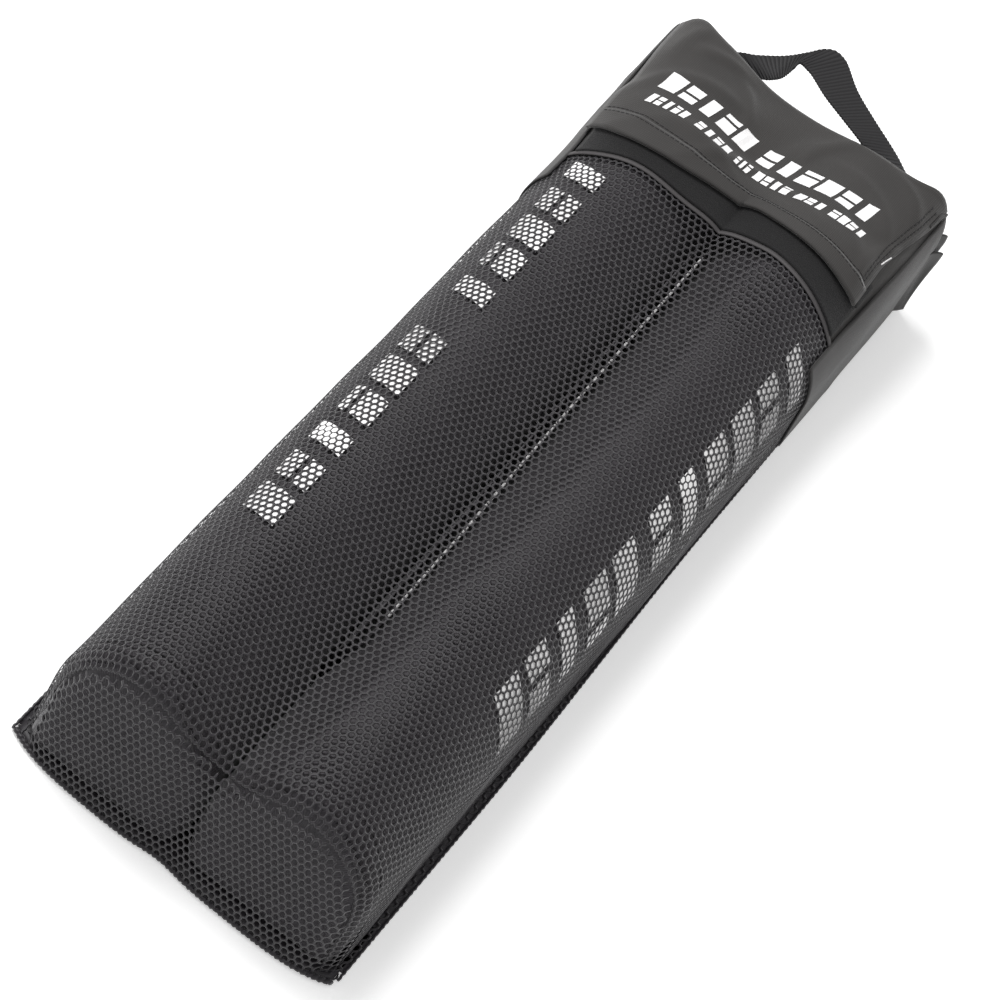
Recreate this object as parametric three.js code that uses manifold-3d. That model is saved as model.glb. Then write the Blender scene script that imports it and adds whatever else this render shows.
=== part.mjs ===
// A pair of padded sleeves for roof rack bars, packed in their own mesh carry bag.
// Millimetres. +Z is up, +Y runs along the pads to the bag's header and handle, +X is across.
// The bag lies on its back, as it is laid down on a table.

import * as THREE from "three";
import { mergeVertices } from "three/addons/utils/BufferGeometryUtils.js";
import Module from "manifold-3d";

// Pads
const PAD_LENGTH = 610; // 24 in, a size that such pads are sold in
const PAD_WIDTH = 94;
const PAD_HEIGHT = 91;
const PAD_FLANK = 40; // straight part of each side, below the round top
const PAD_FOOT_RADIUS = 7;
const PAD_SPACING = 103; // centre line to centre line
const NEAR_END_LEAN = 17; // how far the top of the near end leans back
const FAR_END_LEAN = 7;
const COVER_CLOTH = 1.2;
const END_PANEL_CLOTH = 1.2;
const FOAM_CLEARANCE = 0.4;

// Closure on the inner flank of each pad
const CLOSURE_LENGTH = 365;
const CLOSURE_FLAP_WIDTH = 31;
const CLOSURE_FLAP_CLOTH = 1;
const CLOSURE_TAPE_WIDTH = 25;
const CLOSURE_TAPE_THICKNESS = 0.9;

// Bag
const MESH_CLOTH = 1;
const BAG_SLACK = 1.1; // air between the pads and the cloth around them
const VALLEY_DIP = 9; // how far the cloth sinks between the two pads
const SEAM_FLANGE = 5;
const NEAR_SEAM_BULGE = 6; // how far the near seam stands out in front of each pad
const NEAR_SEAM_ROOM = 2; // air between that bulge and the foot of the pads
const MESH_LENGTH = 497; // near seam to the mouth of the mesh
const MESH_CELL_WIDTH = 32;
const MESH_COLUMNS = 10;
const MESH_ROWS = 10;
const MESH_END_ROWS = 2;
const MESH_RIB = 7;
const MESH_BORDER = 8;
const MOUTH_TAPE_WIDTH = 5;
const MOUTH_TAPE_THICKNESS = 0.8;

// Header
const HEADER_CLOTH = 1;
const HEADER_SQUARENESS = 4.5; // 2 is round, more is squarer
const PANEL_STEP = 12; // cloth panels of the header bend at lines this far apart
const FLAP_STEPS = 8; // half the flap's width, in such steps
const SIDE_PANEL_STEPS = [9, 14]; // first and last line of each side panel
const SIDE_PANEL_LAP = 27; // reach of each side panel over the mesh
const SIDE_PANEL_ROOM = 0.6; // air under each side panel, which spans mesh and header
const LOOP_BAND_START = 502;
const LOOP_BAND_WIDTH = 38;
const LOOP_BAND_THICKNESS = 1.6;
const HOOK_BAND_WIDTH = 16;
const HOOK_BAND_THICKNESS = 1;
const FLAP_OVERHANG = 3; // flap cloth past the hook band
const FLAP_SETTLES = 25; // length over which the flap comes down behind the bands
const FLAP_CORNER_PEAK = 5; // how far the flap's far corners stand out
const FLAP_TURN_DOWN = 44;
const CORNER_TUCK_ARM = 12;
const CORNER_TUCK_FOOT = 6;
const CORNER_TUCK_HEIGHT = 26;

// Handle
const WEBBING_WIDTH = 21;
const WEBBING_THICKNESS = 1.6;
const HANDLE_SPAN = 116; // between the middles of the two sewn ends
const HANDLE_RISE = 44; // how far the loop stands out from the header
const HANDLE_LEAN = 14; // the loop's peak lies this far to the left of the middle
const HANDLE_LIFT = 8; // how far the peak lies above the bend of the webbing
const HANDLE_SEWN = 24;
const HANDLE_FOOT = 56; // height of the lowest stitch
const HANDLE_BEND = 6; // below its bend the webbing is still flat on the flap
const HANDLE_TURN_IN = 3;
const HANDLE_TURN_OUT = 8;
const HANDLE_TURN_UP = 2;
const HANDLE_LEFT_SHOULDER = 14;
const HANDLE_RIGHT_SHOULDER = 24;
const HANDLE_SAG = 1;
const HANDLE_STEPS = 20;

const GAP = 0.3; // air kept between two pieces that touch

// Places worked out from the sizes above
const FLOOR_CLOTH = MESH_CLOTH + GAP; // the height that the pads lie at
const PAD_START = NEAR_SEAM_BULGE + NEAR_SEAM_ROOM;
const PAD_END = PAD_START + PAD_LENGTH;
const PAD_CENTRE = PAD_SPACING / 2;
const SIDE_REACH = PAD_WIDTH / 2 + BAG_SLACK;
const CROWN = PAD_HEIGHT - PAD_FLANK + BAG_SLACK;
const SHOULDER = FLOOR_CLOTH + PAD_FLANK;
const BAG_SIDE = PAD_CENTRE + SIDE_REACH;
const QUARTER_GIRTH = (Math.PI / 2) * Math.hypot(SIDE_REACH, CROWN) * Math.SQRT1_2;
const FOOT_LINE = PAD_CENTRE + QUARTER_GIRTH + PAD_FLANK; // cloth from the middle to the floor
const EDGE_LINE = FOOT_LINE + SEAM_FLANGE;
const HEADER_START = MESH_LENGTH + GAP;
const HEADER_END = PAD_END + GAP;
const END_WALL_OUTER = HEADER_END + HEADER_CLOTH;
const OVER_HEADER = HEADER_CLOTH + GAP;
const OVER_SIDE = HEADER_CLOTH + SIDE_PANEL_ROOM;
const OVER_LOOP_BAND = OVER_HEADER + LOOP_BAND_THICKNESS + GAP;
const OVER_HOOK_BAND = OVER_LOOP_BAND + HOOK_BAND_THICKNESS + GAP;
const LOOP_BAND_END = LOOP_BAND_START + LOOP_BAND_WIDTH;
const HOOK_BAND_START = LOOP_BAND_END - HOOK_BAND_WIDTH;
const FLAP_START = HOOK_BAND_START - FLAP_OVERHANG;
const FLAP_HALF = FLAP_STEPS * PANEL_STEP;
const ROW_STEP = 10;

const wasm = await Module();
wasm.setup();

const cloth = (color, roughness) => new THREE.MeshStandardMaterial({ color, roughness, metalness: 0 });
const foam = cloth(0x55565a, 1);
const coverCloth = cloth(0x2b2a2d, 0.9);
const endPanelCloth = cloth(0x343236, 0.9);
const pileTape = cloth(0x1e1d20, 1);
const bagMesh = cloth(0x232225, 0.75);
const headerCloth = cloth(0x3f3c3d, 0.85);
const bindingTape = cloth(0x4b484a, 0.8);
const webbing = cloth(0x343235, 0.8);

const bag = new THREE.Group();

function addPiece(name, geometry, material) {
  const mesh = new THREE.Mesh(geometry, material);
  mesh.name = name;
  bag.add(mesh);
  return mesh;
}

// Outline of a pad seen from its end: flat foot, straight flanks and a half-ellipse top.
// A positive inset draws it smaller on every side.
function padOutline(inset, Outline = THREE.Shape) {
  const half = PAD_WIDTH / 2 - inset;
  const crown = PAD_HEIGHT - PAD_FLANK - inset;
  const corner = PAD_FOOT_RADIUS - inset;
  const outline = new Outline();
  outline.absarc(half - corner, inset + corner, corner, -Math.PI / 2, 0);
  outline.absellipse(0, PAD_FLANK, half, crown, 0, Math.PI);
  outline.absarc(-half + corner, inset + corner, corner, Math.PI, 1.5 * Math.PI);
  outline.closePath();
  return outline;
}

// A pad piece between two distances along the bag. Its ends lean as the pad's ends do.
function padSolid(outline, start, end, startLean, endLean) {
  const depth = end - start;
  const geometry = new THREE.ExtrudeGeometry(outline, { depth, bevelEnabled: false, curveSegments: 8 });
  geometry.rotateX(Math.PI / 2);
  const position = geometry.getAttribute("position");
  for (let i = 0; i < position.count; i += 1) {
    const height = position.getZ(i);
    const far = position.getY(i) > -depth / 2;
    const lean = ((far ? endLean : startLean) * height) / PAD_HEIGHT;
    position.setXYZ(i, position.getX(i), (far ? end : start) + lean, height + FLOOR_CLOTH);
  }
  geometry.computeVertexNormals();
  return geometry;
}

function addPad(side, centre) {
  const coverStart = PAD_START + END_PANEL_CLOTH + GAP;
  const coverEnd = PAD_END - END_PANEL_CLOTH - GAP;
  const tube = padOutline(0);
  tube.holes.push(padOutline(COVER_CLOTH, THREE.Path));
  const core = padOutline(COVER_CLOTH + FOAM_CLEARANCE);
  const pieces = [
    ["foam_core", core, coverStart, coverEnd, NEAR_END_LEAN, -FAR_END_LEAN, foam],
    ["cover", tube, coverStart, coverEnd, NEAR_END_LEAN, -FAR_END_LEAN, coverCloth],
    ["near_end_panel", padOutline(0), PAD_START, PAD_START + END_PANEL_CLOTH,
      NEAR_END_LEAN, NEAR_END_LEAN, endPanelCloth],
    ["far_end_panel", padOutline(0), PAD_END - END_PANEL_CLOTH, PAD_END,
      -FAR_END_LEAN, -FAR_END_LEAN, endPanelCloth],
  ];
  for (const [name, outline, start, end, startLean, endLean, material] of pieces) {
    const geometry = padSolid(outline, start, end, startLean, endLean);
    addPiece(`${side}_${name}`, geometry, material).position.x = centre;
  }
  addClosure(side, centre);
}

// Loop tape sewn on the inner flank, hook tape on it, and the flap that carries the hook tape.
function addClosure(side, centre) {
  const inward = -Math.sign(centre);
  const foot = FLOOR_CLOTH + PAD_FOOT_RADIUS;
  const middle = (PAD_START + PAD_END) / 2;
  let face = PAD_WIDTH / 2;
  const layers = [
    ["loop_tape", CLOSURE_TAPE_THICKNESS, CLOSURE_TAPE_WIDTH, pileTape],
    ["hook_tape", CLOSURE_TAPE_THICKNESS, CLOSURE_TAPE_WIDTH, pileTape],
    ["closure_flap", CLOSURE_FLAP_CLOTH, CLOSURE_FLAP_WIDTH, coverCloth],
  ];
  for (const [name, thickness, width, material] of layers) {
    const strip = new THREE.BoxGeometry(thickness, CLOSURE_LENGTH, width);
    const piece = addPiece(`${side}_${name}`, strip, material);
    const across = centre + inward * (face + GAP + thickness / 2);
    piece.position.set(across, middle, foot + width / 2);
    face += GAP + thickness;
  }
}

// A flat cloth pattern is a list of points and of faces that turn left. This one is a grid.
function gridPattern(us, vs) {
  const points = vs.flatMap((v) => us.map((u) => [u, v]));
  const faces = [];
  for (let row = 0; row < vs.length - 1; row += 1) {
    for (let column = 0; column < us.length - 1; column += 1) {
      const corner = row * us.length + column;
      faces.push([corner, corner + 1, corner + 1 + us.length, corner + us.length]);
    }
  }
  return { points, faces };
}

function evenly(from, to, step) {
  const count = Math.max(1, Math.ceil(Math.abs(to - from) / step));
  return Array.from({ length: count + 1 }, (_, i) => THREE.MathUtils.lerp(from, to, i / count));
}

// Pattern of an open mesh: staggered six-sided cells, pointed along the cloth, each with a gap
// of the same shape. Solid cloth fills the half cells at the sides and the border at both ends.
function meshPattern(rows, length, marginColumns) {
  const points = [];
  const faces = [];
  const known = new Map();
  const width = MESH_CELL_WIDTH;
  const pitch = (length - 2 * MESH_BORDER) / (rows + 1 / 3);
  const height = (4 / 3) * pitch;
  const side = (width * MESH_COLUMNS) / 2;
  const corner = (x, y) => {
    const key = `${x.toFixed(3)}:${y.toFixed(3)}`;
    if (!known.has(key)) known.set(key, points.push([x, y]) - 1);
    return known.get(key);
  };
  const rowCentre = (row) => MESH_BORDER + height / 2 + row * pitch;
  const hexagon = (x, y, scale) =>
    [[0, -0.5], [0.5, -0.25], [0.5, 0.25], [0, 0.5], [-0.5, 0.25], [-0.5, -0.25]]
      .map(([a, b]) => corner(x + a * width * scale, y + b * height * scale));
  for (let row = 0; row < rows; row += 1) {
    const y = rowCentre(row);
    const shifted = row % 2;
    for (let column = 0; column < MESH_COLUMNS - shifted; column += 1) {
      const x = -side + (column + (1 + shifted) / 2) * width;
      const outer = hexagon(x, y, 1);
      const gap = hexagon(x, y, 1 - MESH_RIB / width);
      outer.forEach((point, k) => {
        const next = (k + 1) % 6;
        faces.push([point, outer[next], gap[next], gap[k]]);
      });
    }
    if (shifted) {
      const half = [[0, -0.5], [0.5, -0.25], [0.5, 0.25], [0, 0.5]];
      faces.push(half.map(([a, b]) => corner(-side + a * width, y + b * height)));
      faces.push(half.map(([a, b]) => corner(side - a * width, y - b * height)));
    }
  }
  // Both ends: cloth between the zigzag of the last cells and a straight edge
  for (let k = 0; k < 2 * MESH_COLUMNS; k += 1) {
    const x = [-side + (k * width) / 2, -side + ((k + 1) * width) / 2];
    const near = [0, 1].map((i) => rowCentre(0) - height * ((k + i) % 2 ? 0.5 : 0.25));
    const lastShift = (rows - 1) % 2;
    const far = [0, 1].map((i) => rowCentre(rows - 1) + height * ((k + i + lastShift) % 2 ? 0.5 : 0.25));
    faces.push([corner(x[0], 0), corner(x[1], 0), corner(x[1], near[1]), corner(x[0], near[0])]);
    faces.push([corner(x[0], far[0]), corner(x[1], far[1]), corner(x[1], length), corner(x[0], length)]);
  }
  // Both sides: plain cloth out to the seams
  const sideHeights = points.filter(([x]) => Math.abs(x + side) < 1e-6).map(([, y]) => y);
  sideHeights.sort((a, b) => a - b);
  const columns = [side, ...marginColumns];
  for (let c = 0; c < columns.length - 1; c += 1) {
    for (let k = 0; k < sideHeights.length - 1; k += 1) {
      const [low, high] = [sideHeights[k], sideHeights[k + 1]];
      const [inner, outer] = [columns[c], columns[c + 1]];
      faces.push([corner(inner, low), corner(outer, low), corner(outer, high), corner(inner, high)]);
      faces.push([corner(-outer, low), corner(-inner, low), corner(-inner, high), corner(-outer, high)]);
    }
  }
  return { points, faces };
}

// Gives a flat pattern its place and its thickness: an inner skin, an outer skin and a wall
// along every free edge, with those of its gaps.
function clothSolid({ points, faces }, place, from, to) {
  const vertices = [from, to].flatMap((offset) => points.map(([u, v]) => place(u, v, offset)));
  const skin = points.length;
  const index = [];
  const freeEdges = new Map();
  for (const face of faces) {
    for (let k = 1; k < face.length - 1; k += 1) {
      index.push(skin + face[0], skin + face[k], skin + face[k + 1]);
      index.push(face[0], face[k + 1], face[k]);
    }
    face.forEach((start, k) => {
      const end = face[(k + 1) % face.length];
      if (!freeEdges.delete(`${end}:${start}`)) freeEdges.set(`${start}:${end}`, [start, end]);
    });
  }
  for (const [start, end] of freeEdges.values()) {
    index.push(start, end, skin + end);
    index.push(start, skin + end, skin + start);
  }
  const geometry = new THREE.BufferGeometry();
  const corners = index.flatMap((i) => vertices[i].toArray());
  geometry.setAttribute("position", new THREE.Float32BufferAttribute(corners, 3));
  geometry.computeVertexNormals();
  return geometry;
}

function toManifold(geometry) {
  const bare = geometry.clone();
  bare.deleteAttribute("normal");
  bare.deleteAttribute("uv");
  const merged = mergeVertices(bare, 1e-3);
  const vertProperties = merged.getAttribute("position").array;
  const triVerts = new Uint32Array(merged.index.array);
  return new wasm.Manifold(new wasm.Mesh({ numProp: 3, vertProperties, triVerts }));
}

function join(first, second) {
  const mesh = toManifold(first).add(toManifold(second)).getMesh();
  const geometry = new THREE.BufferGeometry();
  geometry.setAttribute("position", new THREE.Float32BufferAttribute(mesh.vertProperties, 3));
  geometry.setIndex([...mesh.triVerts]);
  geometry.computeVertexNormals();
  return geometry;
}

// The header starts as round as the mesh and is nearly square at its far end.
function squarenessAt(along) {
  const share = THREE.MathUtils.smoothstep(along, MESH_LENGTH, HEADER_END);
  return THREE.MathUtils.lerp(2, HEADER_SQUARENESS, share);
}

// Place of a cloth point in the cross-section, where across is the length of cloth between it
// and the middle of the bag: over the round tops, down the flank and out along the seam.
function sectionPoint(across, along) {
  const side = Math.sign(across);
  const run = Math.abs(across);
  const overTop = run - PAD_CENTRE;
  const downFlank = overTop - QUARTER_GIRTH;
  const alongSeam = downFlank - PAD_FLANK;
  if (overTop <= 0) return [across, topHeight(across)];
  if (downFlank <= 0) {
    const angle = (overTop / QUARTER_GIRTH) * (Math.PI / 2);
    const power = 2 / squarenessAt(along);
    const reach = SIDE_REACH * Math.sin(angle) ** power;
    return [side * (PAD_CENTRE + reach), SHOULDER + CROWN * Math.max(Math.cos(angle), 0) ** power];
  }
  if (alongSeam <= 0) return [side * BAG_SIDE, SHOULDER - downFlank];
  return [side * (BAG_SIDE + alongSeam), FLOOR_CLOTH];
}

// Height of the cloth over the valley between the pads, and over their round outer shoulders
function topHeight(x) {
  const past = Math.abs(x) - PAD_CENTRE;
  if (past <= 0) return SHOULDER + CROWN - (VALLEY_DIP / 2) * (1 + Math.cos((Math.PI * x) / PAD_CENTRE));
  return SHOULDER + CROWN * Math.sqrt(Math.max(1 - (past / SIDE_REACH) ** 2, 0));
}

// The near seam bulges in front of each pad, and the near end leans back from it.
function nearEnd(x, height) {
  const bulge = NEAR_SEAM_BULGE * Math.sin((Math.PI * x) / PAD_SPACING) ** 2;
  const lean = (NEAR_END_LEAN * (height - FLOOR_CLOTH)) / PAD_HEIGHT;
  return NEAR_SEAM_BULGE - bulge + lean;
}

function bareSurface(across, along) {
  const [x, height] = sectionPoint(across, along);
  const toMouth = along / MESH_LENGTH;
  const y = toMouth < 1 ? THREE.MathUtils.lerp(nearEnd(x, height), MESH_LENGTH, toMouth) : along;
  return new THREE.Vector3(x, y, height);
}

// A point of the bag's cloth, moved out from its inner face
function bagSurface(across, along, offset) {
  const reach = 0.5;
  const acrossFlow = bareSurface(across + reach, along).sub(bareSurface(across - reach, along));
  const alongFlow = bareSurface(across, along + reach).sub(bareSurface(across, along - reach));
  const outward = acrossFlow.cross(alongFlow).normalize();
  return bareSurface(across, along).addScaledVector(outward, offset);
}

const panelLines = (first, last) => {
  const count = last - first;
  return Array.from({ length: count + 1 }, (_, i) => (first + i) * PANEL_STEP);
};

function addMeshFront() {
  const shell = clothSolid(meshPattern(MESH_ROWS, MESH_LENGTH, [FOOT_LINE, EDGE_LINE]), bagSurface, 0, MESH_CLOTH);
  const side = BAG_SIDE + MESH_CLOTH;
  const patternSide = (MESH_COLUMNS * MESH_CELL_WIDTH) / 2;
  const endWall = clothSolid(meshPattern(MESH_END_ROWS, PAD_HEIGHT, []), (u, v, offset) => {
    const x = (u / patternSide) * side;
    const height = THREE.MathUtils.lerp(FLOOR_CLOTH, topHeight(x) + MESH_CLOTH / 2, v / PAD_HEIGHT);
    return new THREE.Vector3(x, nearEnd(x, height) + MESH_CLOTH / 2 - offset, height);
  }, 0, MESH_CLOTH);
  addPiece("mesh_front", join(shell, endWall), bagMesh);
}

// The cloth that the pads lie on: mesh up to the mouth, and solid cloth under the header
function addBack() {
  const side = BAG_SIDE + SEAM_FLANGE;
  const columns = evenly(-side, side, PAD_SPACING / 4);
  const flat = (x, y, offset) => new THREE.Vector3(x, y, offset);
  const meshBack = clothSolid(gridPattern(columns, [0, 1]), (x, share, offset) => {
    return flat(x, THREE.MathUtils.lerp(nearEnd(x, FLOOR_CLOTH), MESH_LENGTH, share), offset);
  }, 0, MESH_CLOTH);
  addPiece("mesh_back", meshBack, bagMesh);
  const headerBack = gridPattern([-side, side], [HEADER_START, END_WALL_OUTER]);
  addPiece("header_back", clothSolid(headerBack, flat, 0, HEADER_CLOTH), headerCloth);
}

function addHeaderFront() {
  const inner = panelLines(-SIDE_PANEL_STEPS[1], SIDE_PANEL_STEPS[1]);
  const columns = [-EDGE_LINE, -FOOT_LINE, ...inner, FOOT_LINE, EDGE_LINE];
  const rows = evenly(HEADER_START, HEADER_END - GAP, ROW_STEP);
  addPiece("header_front", clothSolid(gridPattern(columns, rows), bagSurface, 0, HEADER_CLOTH), headerCloth);
}

function addHeaderEndWall() {
  const half = panelLines(0, SIDE_PANEL_STEPS[1]);
  const line = [...half.slice(1).reverse().map((across) => -across), ...half];
  const outline = new THREE.Shape();
  outline.moveTo(-BAG_SIDE, FLOOR_CLOTH);
  for (const across of line) outline.lineTo(...sectionPoint(across, HEADER_END));
  outline.lineTo(BAG_SIDE, FLOOR_CLOTH);
  const wall = new THREE.ExtrudeGeometry(outline, { depth: HEADER_CLOTH, bevelEnabled: false });
  const piece = addPiece("header_end_wall", wall, headerCloth);
  piece.rotation.x = Math.PI / 2;
  piece.position.y = END_WALL_OUTER;
}

function addSidePanels() {
  const [first, last] = SIDE_PANEL_STEPS;
  const rows = evenly(MESH_LENGTH - SIDE_PANEL_LAP, HEADER_END - GAP, ROW_STEP);
  for (const [name, lines] of [["left", panelLines(-last, -first)], ["right", panelLines(first, last)]]) {
    const panel = clothSolid(gridPattern(lines, rows), bagSurface, OVER_SIDE, OVER_SIDE + HEADER_CLOTH);
    addPiece(`${name}_side_panel`, panel, headerCloth);
  }
}

function addMouthTape() {
  const end = MESH_LENGTH - GAP;
  const lines = evenly(-FLAP_HALF, FLAP_HALF, MESH_CELL_WIDTH / 2);
  const pattern = gridPattern(lines, [end - MOUTH_TAPE_WIDTH, end]);
  const over = MESH_CLOTH + GAP;
  addPiece("mouth_tape", clothSolid(pattern, bagSurface, over, over + MOUTH_TAPE_THICKNESS), bindingTape);
}

function addBands() {
  const lines = panelLines(-FLAP_STEPS, FLAP_STEPS);
  const bands = [
    ["loop_band", LOOP_BAND_START, OVER_HEADER, LOOP_BAND_THICKNESS],
    ["hook_band", HOOK_BAND_START, OVER_LOOP_BAND, HOOK_BAND_THICKNESS],
  ];
  for (const [name, start, over, thickness] of bands) {
    const pattern = gridPattern(lines, evenly(start, LOOP_BAND_END, ROW_STEP));
    addPiece(name, clothSolid(pattern, bagSurface, over, over + thickness), pileTape);
  }
}

// Distance that the flap's fold stands behind the header's end wall, more at its two corners
function foldRoom(across) {
  return HEADER_CLOTH + GAP + FLAP_CORNER_PEAK * (across / FLAP_HALF) ** 4;
}

// The flap lies over the bands, comes down behind them, folds over the header's far edge and
// hangs down its end wall.
function flapSurface(across, along, offset) {
  const settles = THREE.MathUtils.smoothstep(along, LOOP_BAND_END + GAP, LOOP_BAND_END + FLAP_SETTLES);
  const over = THREE.MathUtils.lerp(OVER_HOOK_BAND, OVER_HEADER, settles);
  const past = along - HEADER_END;
  if (past <= 0) return bagSurface(across, along, over + offset);
  const radius = foldRoom(across);
  const edge = bareSurface(across, HEADER_END);
  const turned = Math.min(past, 1) * (Math.PI / 2);
  const hang = Math.max(past - 1, 0);
  const y = HEADER_END + (radius + offset) * Math.sin(turned);
  const height = edge.z + OVER_HEADER - radius + (radius + offset) * Math.cos(turned) - hang;
  return new THREE.Vector3(edge.x, y, height);
}

function addFlap() {
  const onTop = evenly(FLAP_START, HEADER_END, ROW_STEP);
  const folded = [HEADER_END + 0.5, HEADER_END + 1, HEADER_END + 1 + FLAP_TURN_DOWN];
  const pattern = gridPattern(panelLines(-FLAP_STEPS, FLAP_STEPS), [...onTop, ...folded]);
  addPiece("flap", clothSolid(pattern, flapSurface, 0, HEADER_CLOTH), headerCloth);
}

// Cloth of the side panel folded round each far corner of the header, below the flap
function addCornerTucks() {
  const side = BAG_SIDE + OVER_SIDE + HEADER_CLOTH + GAP;
  const end = END_WALL_OUTER + GAP;
  const plan = new THREE.Shape();
  plan.moveTo(side, end - CORNER_TUCK_ARM);
  plan.lineTo(side + HEADER_CLOTH, end - CORNER_TUCK_ARM);
  plan.lineTo(side + HEADER_CLOTH, end + HEADER_CLOTH);
  plan.lineTo(side - CORNER_TUCK_ARM, end + HEADER_CLOTH);
  plan.lineTo(side - CORNER_TUCK_ARM, end);
  plan.lineTo(side, end);
  plan.closePath();
  const tuck = new THREE.ExtrudeGeometry(plan, { depth: CORNER_TUCK_HEIGHT, bevelEnabled: false });
  const right = addPiece("right_corner_tuck", tuck, headerCloth);
  right.position.z = CORNER_TUCK_FOOT;
  const left = addPiece("left_corner_tuck", tuck.clone(), headerCloth);
  left.position.z = CORNER_TUCK_FOOT;
  left.scale.x = -1;
}

// Webbing handle: both ends are sewn flat on the turned-down flap, and the loop between them
// stands out past the header and lies level there.
function addHandle() {
  const half = HANDLE_SPAN / 2;
  const face = HEADER_END + foldRoom(half + WEBBING_WIDTH / 2) + HEADER_CLOTH + GAP + WEBBING_THICKNESS / 2;
  const bend = HANDLE_FOOT + HANDLE_SEWN;
  const peak = bend + HANDLE_LIFT;
  const route = new THREE.CatmullRomCurve3([
    new THREE.Vector3(-half, face, HANDLE_FOOT),
    new THREE.Vector3(-half, face, bend - HANDLE_BEND),
    new THREE.Vector3(-half + HANDLE_TURN_IN, face + HANDLE_TURN_OUT, bend + HANDLE_TURN_UP),
    new THREE.Vector3(-half + HANDLE_LEFT_SHOULDER, face + HANDLE_RISE * 0.55, peak - HANDLE_SAG),
    new THREE.Vector3(-HANDLE_LEAN, face + HANDLE_RISE, peak),
    new THREE.Vector3(half - HANDLE_RIGHT_SHOULDER, face + HANDLE_RISE * 0.55, peak - HANDLE_SAG),
    new THREE.Vector3(half - HANDLE_TURN_IN, face + HANDLE_TURN_OUT, bend + HANDLE_TURN_UP),
    new THREE.Vector3(half, face, bend - HANDLE_BEND),
    new THREE.Vector3(half, face, HANDLE_FOOT),
  ], false, "centripetal");
  const sewn = HANDLE_SEWN / route.getLength();
  const pattern = gridPattern([-WEBBING_WIDTH / 2, WEBBING_WIDTH / 2], evenly(0, 1, 1 / HANDLE_STEPS));
  const solid = clothSolid(pattern, (across, share, offset) => {
    const tangent = route.getTangentAt(share);
    const turn = Math.PI * THREE.MathUtils.clamp((share - sewn) / (1 - 2 * sewn), 0, 1);
    const width = new THREE.Vector3(Math.cos(turn), -Math.sin(turn), 0);
    width.addScaledVector(tangent, -width.dot(tangent)).normalize();
    const normal = width.clone().cross(tangent).normalize();
    return route.getPointAt(share).addScaledVector(width, across).addScaledVector(normal, offset);
  }, -WEBBING_THICKNESS / 2, WEBBING_THICKNESS / 2);
  addPiece("handle", solid, webbing);
}

addPad("left", -PAD_CENTRE);
addPad("right", PAD_CENTRE);
addMeshFront();
addBack();
addHeaderFront();
addHeaderEndWall();
addSidePanels();
addMouthTape();
addBands();
addFlap();
addCornerTucks();
addHandle();

// The part's origin is under the middle of the packed bag, handle included.
const extent = new THREE.Box3().setFromObject(bag, true);
bag.position.y = -(extent.min.y + extent.max.y) / 2;
const part = new THREE.Group();
part.add(bag);

export default part;
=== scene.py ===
# %% [markdown]
# # Two roof rack pads in their mesh carry bag
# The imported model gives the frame: where each piece is and how big it is. This lesson dresses that
# frame. It starts with the camera and the lights, goes on with the two pads, then the open mesh
# around them, and ends with the header, its flap and the handle.

# %% Load the frame
import math

import bpy
import numpy as np
from mathutils import Matrix, Vector


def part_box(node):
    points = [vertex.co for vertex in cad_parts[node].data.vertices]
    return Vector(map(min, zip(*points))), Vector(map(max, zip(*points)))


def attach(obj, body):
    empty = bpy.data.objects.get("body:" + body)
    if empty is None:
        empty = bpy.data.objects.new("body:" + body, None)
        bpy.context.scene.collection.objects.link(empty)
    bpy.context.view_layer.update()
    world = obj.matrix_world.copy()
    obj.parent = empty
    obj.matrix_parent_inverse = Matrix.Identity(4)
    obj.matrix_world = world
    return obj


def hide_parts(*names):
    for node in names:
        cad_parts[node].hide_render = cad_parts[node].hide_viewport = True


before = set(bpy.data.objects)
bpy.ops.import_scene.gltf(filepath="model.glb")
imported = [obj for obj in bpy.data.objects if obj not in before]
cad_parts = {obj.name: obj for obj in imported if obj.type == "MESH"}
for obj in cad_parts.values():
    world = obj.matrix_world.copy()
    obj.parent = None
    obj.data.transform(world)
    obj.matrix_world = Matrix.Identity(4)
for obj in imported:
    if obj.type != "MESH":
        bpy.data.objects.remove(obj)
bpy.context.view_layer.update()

BODY = "root"
MM = 0.001
bpy.ops.object.select_all(action="DESELECT")
for node_name in sorted(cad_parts):
    low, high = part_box(node_name)
    print(node_name, [round(v / MM, 1) for v in low], [round(v / MM, 1) for v in high])

# %% [markdown]
# ## Where the bag is
# The sizes come from the frame's own boxes, so that a new pack moves everything with it. Lengths
# are in millimetres from here on, and one factor turns them into metres when a mesh is placed.

# %% Sizes read from the frame
def box_mm(name):
    corner_low, corner_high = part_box(name)
    return np.array(corner_low) / MM, np.array(corner_high) / MM


mesh_low, mesh_high = box_mm("mesh_front")
header_high = box_mm("header_front")[1]
cover_low, cover_high = box_mm("right_cover")
panel_low = box_mm("right_near_end_panel")[0]
flap_low, flap_high = box_mm("flap")
band_low, band_high = box_mm("loop_band")
hook_low, hook_high = box_mm("hook_band")
side_low, side_high = box_mm("right_side_panel")

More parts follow.
